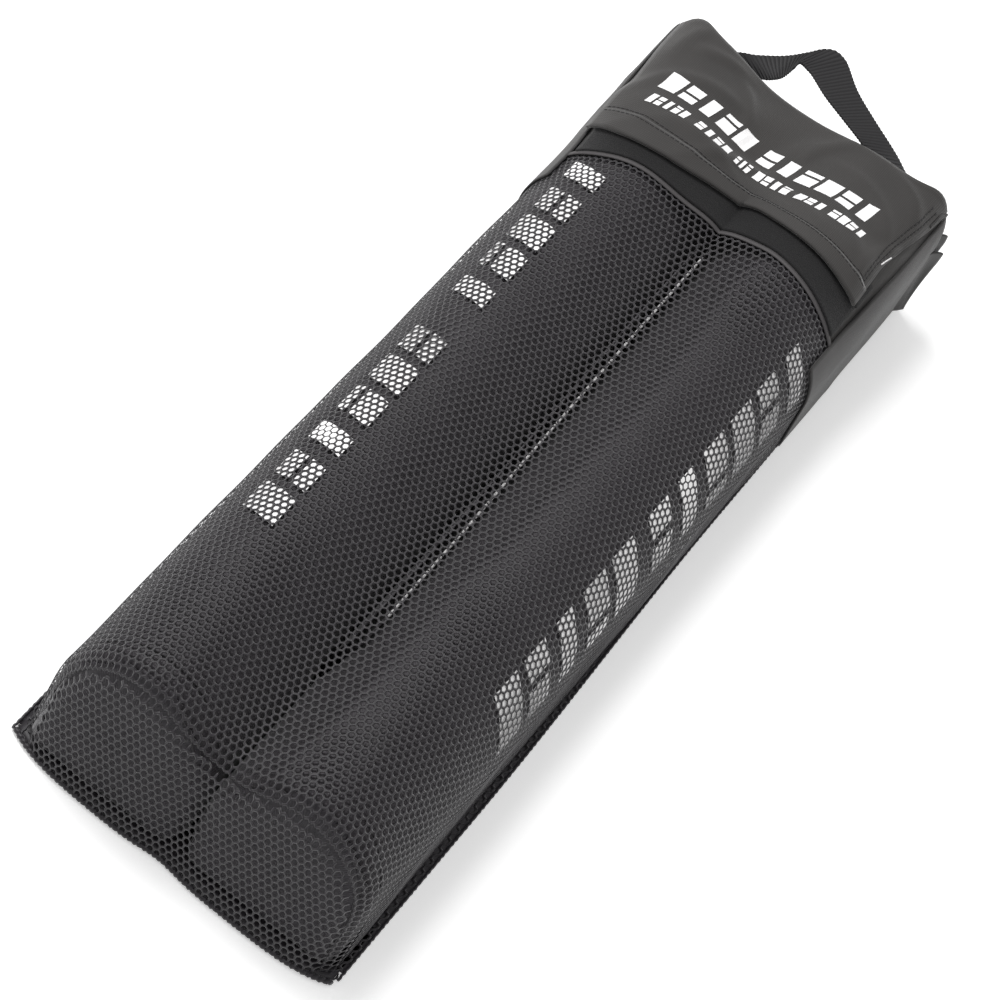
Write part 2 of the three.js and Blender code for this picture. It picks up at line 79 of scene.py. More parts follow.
NEAR = mesh_low[1]
MOUTH = mesh_high[1]
FAR = header_high[1]
PAD_X = (cover_low[0] + cover_high[0]) / 2
PAD_HALF = (cover_high[0] - cover_low[0]) / 2
PAD_FOOT = cover_low[2]
PAD_TOP = cover_high[2]
FLANK = 40  # straight height of a pad's side
SHOULDER = PAD_FOOT + FLANK
SLACK = 1.1  # from a pad's cover out to the cloth of the bag
REACH = PAD_HALF + SLACK
CROWN = PAD_TOP - SHOULDER + SLACK
BAG_SIDE = PAD_X + REACH
QUARTER = math.pi / 2 * math.hypot(REACH, CROWN) / math.sqrt(2)
FOOT_LINE = PAD_X + QUARTER + FLANK
DIP = 9  # depth of the cloth's dip between the pads
LEAN = 17  # how far the near end leans back from foot to top
NEAR_KICK = 4  # how far a pad's foot stands out at the near end
FAR_LEAN = 7  # how far a pad's far end leans, from foot to top
FAR_CLEAR = 2.5  # keeps the pads' far ends inside the end wall
FLANGE = 4.6  # width of the seam allowance at the near end
STRIP_END = 60  # where along the bag the seam allowance has run out
print(f"pads at x = {PAD_X:.1f} mm, cloth from the middle to the floor {FOOT_LINE:.1f} mm")

# %% [markdown]
# ## Camera
# The photograph is taken with a long lens, from above the bag's near end and a little to its
# left, with the camera rolled so that the bag runs from corner to corner. The camera is set from
# those angles by building its three axes, which is easier to read than three Euler angles.

# %% Camera
ELEVATION = math.radians(50.17)
AZIMUTH = math.radians(10.25)
ROLL = math.radians(29.06)
TARGET = Vector((0, -4.2, 30.4)) * MM
DISTANCE = 2161 * MM
SENSOR = 36
FOCAL_PIXELS = 3900
IMAGE_PIXELS = 1000
SHIFT_PIXELS = (30, -50)

back_axis = Vector((
    math.sin(AZIMUTH) * math.cos(ELEVATION),
    -math.cos(AZIMUTH) * math.cos(ELEVATION),
    math.sin(ELEVATION),
))
level_axis = Vector((0, 0, 1)).cross(back_axis).normalized()
upright_axis = back_axis.cross(level_axis)
right_axis = level_axis * math.cos(ROLL) + upright_axis * math.sin(ROLL)
up_axis = upright_axis * math.cos(ROLL) - level_axis * math.sin(ROLL)

bpy.ops.object.camera_add()
camera = bpy.context.object
camera.name = "camera"
camera.matrix_world = Matrix.Translation(TARGET + back_axis * DISTANCE) @ Matrix((
    right_axis, up_axis, back_axis,
)).transposed().to_4x4()
camera.data.sensor_width = SENSOR
camera.data.lens = FOCAL_PIXELS * SENSOR / IMAGE_PIXELS
camera.data.shift_x = -SHIFT_PIXELS[0] / IMAGE_PIXELS
camera.data.shift_y = SHIFT_PIXELS[1] / IMAGE_PIXELS
camera.data.clip_end = 20
bpy.context.scene.camera = camera
bpy.context.scene.view_settings.view_transform = "Standard"
print(f"lens {camera.data.lens:.0f} mm, {DISTANCE:.2f} m from the bag")

# %% [markdown]
# ## Materials: small helpers
# A material is a tree of nodes. One function turns a colour as it is written on screen into the
# linear values that light is worked out in, and one adds a node with its settings and links.

# %% Colour and node helpers
def linear(hex_colour):
    parts = [int(hex_colour[i:i + 2], 16) / 255 for i in (1, 3, 5)]
    return [p / 12.92 if p <= 0.04045 else ((p + 0.055) / 1.055) ** 2.4 for p in parts] + [1.0]


def add_node(tree, kind, settings=None, inputs=None):
    made = tree.nodes.new(kind)
    for key, value in (settings or {}).items():
        setattr(made, key, value)
    for key, value in (inputs or {}).items():
        if isinstance(value, bpy.types.NodeSocket):
            tree.links.new(value, made.inputs[key])
        else:
            made.inputs[key].default_value = value
    return made


def new_material(name, colour, roughness, **shader_inputs):
    material = bpy.data.materials.new(name)
    material.use_nodes = True
    shader = material.node_tree.nodes["Principled BSDF"]
    shader.inputs["Base Color"].default_value = linear(colour)
    shader.inputs["Roughness"].default_value = roughness
    for key, value in shader_inputs.items():
        shader.inputs[key.replace("_", " ")].default_value = value
    return material, material.node_tree, shader


WAVE_PERIOD = 2 * math.pi / 20  # a Wave texture of scale 1 repeats once in this length


def wave_scale(period_mm):
    return WAVE_PERIOD / (period_mm * MM)


print("white is", [round(v, 3) for v in linear("#ffffff")])

# %% [markdown]
# ## Plain woven polyester
# The pads' covers and the bag's header are plain-woven polyester with a thin coating on the back.
# The yarns are about half a millimetre apart, which is finer than a pixel here, so the weave is
# drawn a little coarser. Two crossed waves make the grid of yarns, and a slow noise gives the
# cloudy shade that a coated cloth shows where it has been folded.

# %% Woven cloth material
def woven_cloth(name, dark, light, period_mm, bump_mm, roughness):
    material, tree, shader = new_material(name, dark, roughness, Sheen_Weight=0.25, Sheen_Roughness=0.5)
    place = add_node(tree, "ShaderNodeAttribute", {"attribute_name": "cloth"}).outputs["Vector"]
    waves = []
    for direction in ("X", "Y"):
        waves.append(add_node(
            tree, "ShaderNodeTexWave", {"wave_type": "BANDS", "bands_direction": direction},
            {"Vector": place, "Scale": wave_scale(period_mm), "Distortion": 0.6, "Detail": 1.0},
        ).outputs["Fac"])
    weave = add_node(tree, "ShaderNodeMath", {"operation": "MULTIPLY"}, {0: waves[0], 1: waves[1]})
    cloud = add_node(
        tree, "ShaderNodeTexNoise", {}, {"Vector": place, "Scale": 28.0, "Detail": 4.0, "Roughness": 0.6},
    )
    shade = add_node(
        tree, "ShaderNodeMath", {"operation": "MULTIPLY_ADD"},
        {0: weave.outputs[0], 1: 0.55, 2: 0.0},
    )
    total = add_node(
        tree, "ShaderNodeMath", {"operation": "MULTIPLY_ADD", "use_clamp": True},
        {0: cloud.outputs["Fac"], 1: 0.7, 2: shade.outputs[0]},
    )
    mix = add_node(
        tree, "ShaderNodeMix", {"data_type": "RGBA"},
        {0: total.outputs[0], 6: linear(dark), 7: linear(light)},
    )
    bump = add_node(
        tree, "ShaderNodeBump", {},
        {"Height": weave.outputs[0], "Distance": bump_mm * MM, "Strength": 0.6},
    )
    tree.links.new(mix.outputs[2], shader.inputs["Base Color"])
    tree.links.new(bump.outputs[0], shader.inputs["Normal"])
    return material


cover_cloth = woven_cloth("coated_woven_polyester", "#191519", "#322c33", 1.6, 0.35, 0.6)
panel_cloth = woven_cloth("coated_woven_polyester_ends", "#211d22", "#39343b", 1.6, 0.25, 0.55)
header_cloth = woven_cloth("plain_woven_polyester", "#1f1d1c", "#34312f", 1.1, 0.2, 0.72)
side_cloth_material = woven_cloth("plain_woven_polyester_doubled", "#1e1c1c", "#312f2e", 1.1, 0.2, 0.75)
print("woven cloths ready")

# %% [markdown]
# ## Knitted mesh, pile tape, webbing, thread and print
# The mesh is knitted from bright polyester filament, so its strands catch a soft light. The pile
# of the loop band is a mat of tiny hooks-and-loops fibres that scatters light: rough, with a
# speckled shade. Webbing and binding are tightly woven tapes. The print is a matt white ink that
# lies in the weave, so the yarns show through it.

# %% The other materials
def speckled(name, dark, light, scale, bump_mm, roughness, **shader_inputs):
    material, tree, shader = new_material(name, dark, roughness, **shader_inputs)
    place = add_node(tree, "ShaderNodeTexCoord").outputs["Object"]
    noise = add_node(
        tree, "ShaderNodeTexNoise", {}, {"Vector": place, "Scale": scale, "Detail": 3.0, "Roughness": 0.7},
    )
    mix = add_node(
        tree, "ShaderNodeMix", {"data_type": "RGBA"},
        {0: noise.outputs["Fac"], 6: linear(dark), 7: linear(light)},
    )
    bump = add_node(
        tree, "ShaderNodeBump", {},
        {"Height": noise.outputs["Fac"], "Distance": bump_mm * MM, "Strength": 0.8},
    )
    tree.links.new(mix.outputs[2], shader.inputs["Base Color"])
    tree.links.new(bump.outputs[0], shader.inputs["Normal"])
    return material


knitted_mesh = speckled("knitted_polyester_mesh", "#120f13", "#262128", 900, 0.1, 0.5, Sheen_Weight=0.2)
loop_pile = speckled("brushed_loop_pile", "#050405", "#0f0e10", 1500, 0.8, 0.95, Sheen_Weight=0.1)
binding = speckled("woven_binding_tape", "#353334", "#535051", 1200, 0.1, 0.7)
webbing = speckled("ribbed_polyester_webbing", "#0b0a0c", "#1a181b", 1400, 0.1, 0.65, Sheen_Weight=0.05)
white_thread = speckled("white_polyester_thread", "#dddada", "#fbfafa", 2500, 0.05, 0.6)
black_thread = speckled("black_polyester_thread", "#0c0b0c", "#1d1b1d", 2500, 0.05, 0.6)
# The grey thread is the white thread darkened: painted shade for white stitches that lie deeper in the gap
# between the pads.
shaded_white_thread = speckled("white_thread_painted_shade", "#4c4a4d", "#6d6a6e", 2500, 0.05, 0.6)
white_print = speckled("white_screen_print", "#efeded", "#ffffff", 1800, 0.05, 0.75)
print("materials:", len(bpy.data.materials))

# %% [markdown]
# ## Shape of the cloth around the pads
# One function gives the place of any point of the bag's cloth. It takes the length of cloth from
# the middle of the bag, across, and the distance from the near seam, along, as the flat pattern
# has them. Every sheet of the bag is a flat grid that is moved through this function, so sheets
# that touch on the real bag follow each other here too.

# %% Cloth functions
def xyz(x, y, z):
    """Points from three coordinates, where one number stands for all points."""
    return np.stack(np.broadcast_arrays(x, y, z), axis=-1)


def smoothstep(value, low, high):
    t = np.clip((value - low) / (high - low), 0, 1)
    return t * t * (3 - 2 * t)


def squareness(along):
    return 2 + 2.5 * smoothstep(along, MOUTH, FAR)


# each has a row of x, and a row of how far the cloth is drawn there
MOUTH_BOW = (
    (-100, -78, -68, -51, -26, -5, 4, 15, 36, 59, 80, 100),
    (0, -3, -1, 2, 4, 8, 9, 10, 10.8, 5, 0.5, 0),
)
FLAP_BOW = (
    (-100, -92, -77, -59, -38, -20, -5, 12, 32, 53, 73, 100),
    (0, -4.5, -10.7, -11, -6.8, 0, 3.5, 8.6, 5.3, 1.4, -2, 0),
)
FAR_SAG = ((-68, -56, -46, -36, -26, -12, 0, 20), (0, 2, 5.5, 7, 6, 3, 1, 0))


def soft_line(x, marks):
    """A line through marks, with its corners rounded off."""
    return sum(np.interp(x + shift, *marks) for shift in (-6, -3, 0, 3, 6)) / 5


def bow(x, y):
    """How far along the bag the cloth is drawn at its mouth, at the flap's edge and at the far corners."""
    at_mouth = soft_line(x, MOUTH_BOW)
    at_flap = soft_line(x, FLAP_BOW)
    between = np.clip((y - MOUTH) / (flap_low[1] - MOUTH), 0, 1)
    drawn = at_mouth + (at_flap - at_mouth) * between
    fade = smoothstep(y, MOUTH - 60, MOUTH) * (1 - smoothstep(y, flap_low[1], flap_low[1] + 28))
    ears = 6.5 * np.exp(-((np.abs(x) - 88) / 13) ** 2)
    return drawn * fade + ears * smoothstep(y, 235, FAR)


def hollows(x, y):
    """Depth of the sharp crease at the mouth between the pads, and of the slack at the far edge."""
    crease = 5 * np.exp(-(np.abs(x - 4) / 7) ** 1.3)
    crease = crease * smoothstep(y, MOUTH - 45, MOUTH) * (1 - smoothstep(y, MOUTH + 4, flap_low[1] + 20))
    return crease + soft_line(x, FAR_SAG) * smoothstep(y, 245, FAR)


def top_height(x, along):
    """Height of the cloth at x: the dip between the pads, and the round outer shoulders."""
    past = np.abs(x) - PAD_X
    dip = DIP * (0.85 + 0.5 * smoothstep(along, MOUTH, NEAR))
    valley = SHOULDER + CROWN - dip / 2 * (1 + np.cos(np.pi * np.clip(x / PAD_X, -1, 1)))
    power = squareness(along)
    round_off = np.clip(1 - (np.clip(past, 0, REACH) / REACH) ** power, 0, 1) ** (1 / power)
    return np.where(past <= 0, valley, SHOULDER + CROWN * round_off) - hollows(x, along)


def section(across, along):
    run = np.abs(across)
    side = np.sign(across)
    over = run - PAD_X
    angle = np.clip(over / QUARTER, 0, 1) * np.pi / 2
    power = 2 / squareness(along)
    x = np.where(over <= 0, across, side * (PAD_X + REACH * np.sin(angle) ** power))
    z = np.where(over <= 0, top_height(x, along), SHOULDER + CROWN * np.cos(angle) ** power)
    z = z - np.clip(over - QUARTER, 0, FLANK)
    x = x + side * np.clip(over - QUARTER - FLANK, 0, None)
    return x, z


def near_end(x, z):
    """Distance of the bag's near end: its seam bows out a little, and the end leans back."""
    corner = 7 * (np.abs(x) / BAG_SIDE) ** 6
    between = 2.5 * np.exp(-((x + 4) / 16) ** 2)
    lean = LEAN * (np.maximum(z - PAD_FOOT, 0) / (PAD_TOP - PAD_FOOT)) ** 1.15
    return NEAR - 3 + corner + between - 0.02 * x + lean


def wrinkles(u, v, size):
    """Small soft folds, a sum of a few sine waves that run across each other."""
    fold = np.sin(u / 17 + v / 41) + 0.7 * np.sin(v / 23 - u / 31 + 1.3) + 0.5 * np.sin(v / 11 + u / 13 + 4)
    return size * fold / 2.2


CREASES = (
    (-70, 236, 35, 34, 5, 0.9), (-30, 250, -60, 26, 4, 0.8), (18, 262, 62, 22, 4, 0.9),
    (60, 250, -28, 30, 5, 0.8), (-5, 215, 12, 40, 4, 0.7), (80, 214, 74, 24, 3.5, 0.9),
    (-84, 262, 80, 16, 3.5, 0.9), (38, 226, -10, 36, 4.5, 0.6), (-45, 205, 8, 40, 4, 0.6),
    (75, 268, -40, 18, 3.5, 1.0), (-60, 270, 20, 22, 4, 0.8), (5, 240, 85, 26, 5, 0.7),
    (125, 180, 75, 26, 4, 1.0), (140, 240, 20, 22, 4, 1.1), (118, 262, -50, 18, 4, 1.0),
    (150, 200, -15, 30, 5, 0.9), (-125, 190, 75, 26, 4, 1.0), (-140, 250, 30, 22, 4, 1.1),
    (-118, 240, -50, 20, 4, 1.0), (-150, 200, 5, 30, 5, 0.9),
)


def creases(u, v, depth):
    """Single soft creases, each a ridge with a place, a direction, a length, a width and a height."""
    total = np.zeros_like(u * 1.0)
    for x, y, degrees, length, width, height in CREASES:
        turn = math.radians(degrees)
        run = (u - x) * math.cos(turn) + (v - y) * math.sin(turn)
        off = (v - y) * math.cos(turn) - (u - x) * math.sin(turn) + 0.01 * run ** 2
        total += height * np.exp(-(off / width) ** 2) * np.exp(-(run / length) ** 4)
    return depth * total


def outward(place, u, v):
    """Unit normals of a surface, from small steps along its two directions."""
    step = 0.4
    across = place(u + step, v) - place(u - step, v)
    along = place(u, v + step) - place(u, v - step)
    normal = np.cross(across, along)
    return normal / np.maximum(np.linalg.norm(normal, axis=-1, keepdims=True), 1e-9)


EDGE_ROUND = 14
EDGE_START = math.radians(30)
EDGE_LENGTH = EDGE_ROUND * (math.pi / 2 - EDGE_START)


def bare_cloth(across, along):
    """Cloth of the mesh and the header front. Its near edge rounds down to the near end."""
    x, z = section(across, along)
    start = near_end(x, z)
    turn = EDGE_START + np.clip((along - NEAR) / EDGE_ROUND, 0, math.pi / 2 - EDGE_START)
    sink = EDGE_ROUND * (1 - np.sin(turn))
    past_x = np.clip(np.abs(x) - PAD_X, 0, None)
    past_z = np.clip(z - SHOULDER, 0, None)
    reach = np.hypot(past_x, past_z) + 1e-6
    share = np.clip((along - NEAR - EDGE_LENGTH) / (MOUTH - NEAR - EDGE_LENGTH), 0, None)
    y = start + EDGE_ROUND * (1 - np.cos(turn)) + (MOUTH - start - EDGE_ROUND) * np.minimum(share, 1)
    y = np.where(along > MOUTH, along, y) + bow(x, along)
    return xyz(x - np.sign(x) * past_x / reach * sink, y, z - past_z / reach * sink)


def cloth(lift, folds=0.0):
    def place(across, along):
        point = bare_cloth(across, along)
        height = lift + wrinkles(across, along, folds)
        height = height + np.where(along > MOUTH, creases(across, along, folds), 0)
        return point + outward(bare_cloth, across, along) * np.asarray(height)[..., None]
    return place


print("cloth at the crest of the right pad:", np.round(bare_cloth(np.array([PAD_X]), np.array([0.0])), 1))

# %% [markdown]
# ## Helpers for pieces
# A sheet starts as a grid primitive with one face for every few millimetres of cloth. Its flat
# coordinates are stored on its points, so that the weave follows the cloth, and then the points
# are moved to their place. A Solidify modifier gives it its thickness.

# %% Sheet and finishing helpers
def pick(piece):
    """Makes a piece the active one and the only one selected."""
    bpy.ops.object.select_all(action="DESELECT")
    bpy.context.view_layer.objects.active = piece
    piece.select_set(True)


def apply_modifiers(piece):
    pick(piece)
    for modifier in list(piece.modifiers):
        bpy.ops.object.modifier_apply(modifier=modifier.name)


def thicken(piece, thickness, offset=1):
    """Gives a sheet its thickness: outwards at offset 1, and both ways at 0."""
    solid = piece.modifiers.new("thickness", "SOLIDIFY")
    solid.thickness = thickness * MM
    solid.offset = offset
    apply_modifiers(piece)


def points_of(piece):
    flat = np.zeros(len(piece.data.vertices) * 3)
    piece.data.vertices.foreach_get("co", flat)
    return flat.reshape(-1, 3)


def move_points(piece, points):
    piece.data.vertices.foreach_set("co", np.asarray(points, float).ravel())
    piece.data.update()


def store_cloth(piece, u, v):
    """Keeps each point's place in the flat cloth, in metres, for the weave to follow."""
    attribute = piece.data.attributes.new("cloth", "FLOAT_VECTOR", "POINT")
    values = np.stack([u, v, np.zeros_like(u)], axis=-1) * MM
    attribute.data.foreach_set("vector", values.ravel())


def dress(piece, material, replaced=()):
    piece.data.materials.clear()
    piece.data.materials.append(material)
    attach(piece, BODY)
    if replaced:
        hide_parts(*replaced)
    return piece


def flat_grid(name, u_range, v_range, cell):
    """A grid primitive in the flat cloth's own plane, in millimetres."""
    bpy.ops.object.select_all(action="DESELECT")
    width, length = u_range[1] - u_range[0], v_range[1] - v_range[0]
    bpy.ops.mesh.primitive_grid_add(
        x_subdivisions=max(1, round(width / cell)), y_subdivisions=max(1, round(length / cell)), size=1,
    )
    piece = bpy.context.object
    piece.name = name
    points = points_of(piece)
    points[:, 0] = (points[:, 0] + 0.5) * width + u_range[0]
    points[:, 1] = (points[:, 1] + 0.5) * length + v_range[0]
    move_points(piece, points)
    return piece


def place_sheet(piece, place, thickness):
    """Moves a flat grid's points to their place on the bag, and gives the cloth its thickness."""
    points = points_of(piece)
    u, v = points[:, 0], points[:, 1]
    store_cloth(piece, u, v)
    move_points(piece, place(u, v) * MM)
    pick(piece)
    bpy.ops.object.shade_smooth()
    thicken(piece, thickness)


def sheet_piece(
    name, u_range, v_range, cell, place, thickness, material, replaced,
):
    piece = flat_grid(name, u_range, v_range, cell)
    place_sheet(piece, place, thickness)
    dress(piece, material, replaced)
    print(name, len(piece.data.polygons), "faces")
    return piece


def cord(name, points, radius, material):
    """A round cord through the points given, in millimetres."""
    bpy.ops.object.select_all(action="DESELECT")
    bpy.ops.curve.primitive_nurbs_path_add()
    piece = bpy.context.object
    piece.name = name
    curve = piece.data
    curve.splines.clear()
    line = curve.splines.new("POLY")
    line.points.add(len(points) - 1)
    line.points.foreach_set("co", np.hstack([np.array(points) * MM, np.ones((len(points), 1))]).ravel())
    curve.bevel_depth = radius * MM
    curve.bevel_resolution = 1
    curve.use_fill_caps = True
    bpy.ops.object.convert(target="MESH")
    bpy.ops.object.shade_smooth()
    return dress(bpy.context.object, material)


def stitches(name, points, pitch, length, radius, material):
    """Short bars of thread along a line, one for each pitch."""
    points = np.array(points, float)
    steps = np.linalg.norm(np.diff(points, axis=0), axis=1)
    run = np.concatenate([[0], np.cumsum(steps)])
    bpy.ops.object.select_all(action="DESELECT")
    bpy.ops.mesh.primitive_cylinder_add(vertices=6, radius=radius, depth=1)
    piece = bpy.context.object
    piece.name = name
    unit = points_of(piece)
    corners = [tuple(p.vertices) for p in piece.data.polygons]
    places, faces = [], []
    for index in range(int(run[-1] // pitch)):
        ends = [index * pitch + 0.5, index * pitch + 0.5 + length]
        first, last = (np.array([np.interp(e, run, points[:, k]) for k in range(3)]) for e in ends)
        axis = last - first
        aside = np.cross(axis, (0.3, 0.2, 1))
        aside /= np.linalg.norm(aside)
        third = np.cross(axis, aside)
        third /= np.linalg.norm(third)
        base = len(unit) * index
        places.append((first + last) / 2 + unit @ np.array([aside, third, axis]))
        faces += [tuple(base + c for c in corner) for corner in corners]
    mesh = bpy.data.meshes.new(name)
    mesh.from_pydata((np.vstack(places) * MM).tolist(), [], faces)
    piece.data = mesh
    bpy.ops.object.shade_smooth()
    return dress(piece, material)


print("helpers ready")

# %% [markdown]
# ## The pads
# Each pad is a bar of foam in a cloth sleeve, with a flat foot and a round top. A cylinder is cut
# in half and stretched for the round top, the cut face is extruded down to the foot, and the ends
# are leaned. The blank is remeshed into even faces. A short cloth simulation with a little
# pressure then rounds it, but by less than a millimetre, because foam holds the cover in shape.
# The swelling of the flanks and the wrinkles are added to the points afterwards.

# %% Pad blanks
VOXEL = 4  # size of the even faces
PRESSURE = 4.0
LARGEST_MOVE = 0.9  # the simulation moves no point further than this
FRAMES = 20
INNER_SWELL = 4.1  # past the closure flaps, the inner flanks swell this far to the middle


def make_pad(side, name):
    bpy.ops.object.select_all(action="DESELECT")
    bpy.ops.mesh.primitive_cylinder_add(vertices=48, radius=1, depth=1, rotation=(math.pi / 2, 0, 0))
    pad = bpy.context.object
    pad.name = name
    bpy.ops.object.transform_apply(location=True, rotation=True, scale=True)
    bpy.ops.object.mode_set(mode="EDIT")
    bpy.ops.mesh.select_all(action="SELECT")
    bpy.ops.mesh.bisect(plane_co=(0, 0, 0), plane_no=(0, 0, 1), clear_inner=True, use_fill=True)
    bpy.ops.object.mode_set(mode="OBJECT")
    low, high = box_mm(f"{side}_cover")
    start = box_mm(f"{side}_near_end_panel")[0][1]
    end = box_mm(f"{side}_far_end_panel")[1][1] - FAR_CLEAR
    centre = (low[0] + high[0]) / 2
    points = points_of(pad)
    x = centre + points[:, 0] * PAD_HALF
    z = SHOULDER + points[:, 2] * (PAD_TOP - SHOULDER)
    y = np.where(points[:, 1] < 0, start, end)
    move_points(pad, xyz(x, y, z) * MM)
    bpy.ops.object.mode_set(mode="EDIT")
    bpy.ops.mesh.select_all(action="DESELECT")
    bpy.ops.object.mode_set(mode="OBJECT")
    for face in pad.data.polygons:
        face.select = face.normal.z < -0.9
    bpy.ops.object.mode_set(mode="EDIT")
    bpy.ops.mesh.extrude_region_move(TRANSFORM_OT_translate={"value": (0, 0, -FLANK * MM)})
    bpy.ops.object.mode_set(mode="OBJECT")
    points = points_of(pad) / MM
    near_side = points[:, 1] < 0
    height = (points[:, 2] - PAD_FOOT) / (PAD_TOP - PAD_FOOT)
    points[:, 1] += np.where(near_side, LEAN * height - NEAR_KICK * (1 - height), -FAR_LEAN * height)
    move_points(pad, points * MM)
    print(name, "blank:", len(pad.data.polygons), "faces")
    return pad


def swell(pad):
    """Remeshes a blank and lets cloth pressure round it, within its own box."""
    bevel = pad.modifiers.new("soft edges", "BEVEL")
    bevel.width = 8 * MM
    bevel.segments = 4
    bevel.limit_method = "ANGLE"
    bevel.angle_limit = math.radians(40)
    remesh = pad.modifiers.new("even faces", "REMESH")
    remesh.mode = "VOXEL"
    remesh.voxel_size = VOXEL * MM
    apply_modifiers(pad)
    before = points_of(pad)
    cloth_modifier = pad.modifiers.new("cloth", "CLOTH")
    settings = cloth_modifier.settings
    settings.use_pressure = True
    settings.uniform_pressure_force = PRESSURE
    settings.effector_weights.gravity = 0
    settings.quality = 4
    scene = bpy.context.scene
    for step in range(1, FRAMES + 1):
        scene.frame_set(step)
    evaluated = pad.evaluated_get(bpy.context.evaluated_depsgraph_get())
    after = np.array([v.co for v in evaluated.data.vertices])
    pad.modifiers.remove(cloth_modifier)
    scene.frame_set(1)
    move = after - before
    length = np.linalg.norm(move, axis=1, keepdims=True)
    move *= np.minimum(1, LARGEST_MOVE * MM / np.maximum(length, 1e-9))
    low, high = before.min(axis=0), before.max(axis=0)
    move_points(pad, np.clip(before + move, low, high))
    bpy.ops.object.shade_smooth()
    return pad


pads = {}
for side, sign in (("left", -1), ("right", 1)):
    pads[side] = swell(make_pad(side, f"{side}_pad_cover"))
    points = points_of(pads[side]) / MM
    around = np.arctan2(points[:, 0] - sign * PAD_X, points[:, 2] - SHOULDER) * PAD_HALF
    store_cloth(pads[side], around, points[:, 1])
    inner = np.clip(-sign * (points[:, 0] - sign * PAD_X) / PAD_HALF, 0, 1) ** 2
    free = 1 - smoothstep(points[:, 1], -232, -210) + smoothstep(points[:, 1], 160, 176)
    flank = np.sin(np.pi * np.clip(points[:, 2] / 66, 0, 1)) ** 0.6
    points[:, 0] -= sign * INNER_SWELL * inner * free * flank
    wrinkle = np.clip(wrinkles(around * 2.2, points[:, 1] * 0.6, 0.7), 0, 1)
    points[:, 2] -= wrinkle * smoothstep(points[:, 2], 20, 60)
    points[:, 2] = np.minimum(points[:, 2], top_height(points[:, 0], points[:, 1]) - 1)
    move_points(pads[side], points * MM)
    dress(pads[side], cover_cloth, (f"{side}_cover", f"{side}_foam_core"))
    print(side, "pad:", len(pads[side].data.polygons), "faces")

# %% [markdown]
# ## End panels, their piping and their stitches
# A separate D-shaped panel closes each end of a pad. The pad's own end faces are copied, moved out
# a little and thickened. A piped seam runs around each near panel, and its stitches show on the
# cover as a row of short dark bars.

# %% End panels
PANEL_LIFT = 0.4
PANEL_THICKNESS = 0.8


def end_line(side_sign, inset, out):
    """Points around the arch of a pad's near end, inset from its edge and moved out from it."""
    turns = np.radians(np.linspace(-90, 90, 49))
    x = side_sign * PAD_X + (PAD_HALF - inset) * np.sin(turns)
    z = SHOULDER + (PAD_TOP - SHOULDER - inset) * np.cos(turns)
    x = np.concatenate([[x[0]] * 6, x, [x[-1]] * 6])
    rise = np.linspace(PAD_FOOT + 8, SHOULDER - 5, 6)
    z = np.concatenate([rise, z, rise[::-1]])
    height = (z - PAD_FOOT) / (PAD_TOP - PAD_FOOT)
    y = panel_low[1] + LEAN * height - NEAR_KICK * (1 - height) - out
    return xyz(x, y * np.ones_like(x), z)


for side, sign in (("left", -1), ("right", 1)):
    for end, facing in (("near", -1), ("far", 1)):
        pick(pads[side])
        bpy.ops.object.duplicate()
        panel = bpy.context.object
        panel.name = f"{side}_{end}_end_cloth"
        keep = [p.normal.y * facing > 0.8 for p in panel.data.polygons]
        panel.data.polygons.foreach_set("select", [not k for k in keep])
        bpy.context.tool_settings.mesh_select_mode = (False, False, True)
        bpy.ops.object.mode_set(mode="EDIT")
        bpy.ops.mesh.delete(type="FACE")
        bpy.ops.object.mode_set(mode="OBJECT")
        points = points_of(panel)
        points[:, 1] += facing * PANEL_LIFT * MM
        move_points(panel, points)
        thicken(panel, PANEL_THICKNESS)
        dress(panel, panel_cloth, (f"{side}_{end}_end_panel",))
    cord(f"{side}_near_piping", end_line(sign, 5.5, -0.4), 1.0, cover_cloth)
    arch = end_line(sign, -0.3, -12)
    stitches(f"{side}_near_stitches", arch[8:-8], 5, 3.2, 0.45, black_thread)
print("end panels and piping")

# %% [markdown]
# ## Print on the pads
# White marks run along the outer shoulder of each pad. They are plain slanted blocks, laid on the
# cover as thin sheets that follow its curve.

# %% Print blocks
def pad_place(sign, lift):
    """A point of a pad's arch, from the angle down from its crest in degrees and from y."""
    def place(angle, y):
        turn = np.radians(angle)
        return xyz(
            sign * PAD_X + (PAD_HALF + lift) * np.sin(turn), y,
            SHOULDER + (PAD_TOP - SHOULDER + lift) * np.cos(turn),
        )
    return place


BLOCK_SHAPES = (  # whole, cut low, narrow and cut high, used in turn
    [((0, 0), (1, 0), (1, 1), (0, 1))],
    [((0, 0), (0.4, 0), (0.4, 0.92), (0, 0.92)), ((0.54, 0), (1, 0), (1, 0.92), (0.54, 0.92))],
    [((0, 0.12), (1, 0.12), (1, 0.8), (0, 0.8))],
    [((0, 0), (0.62, 0), (0.62, 1), (0, 1)), ((0.76, 0), (1, 0), (1, 1), (0.76, 1))],
)


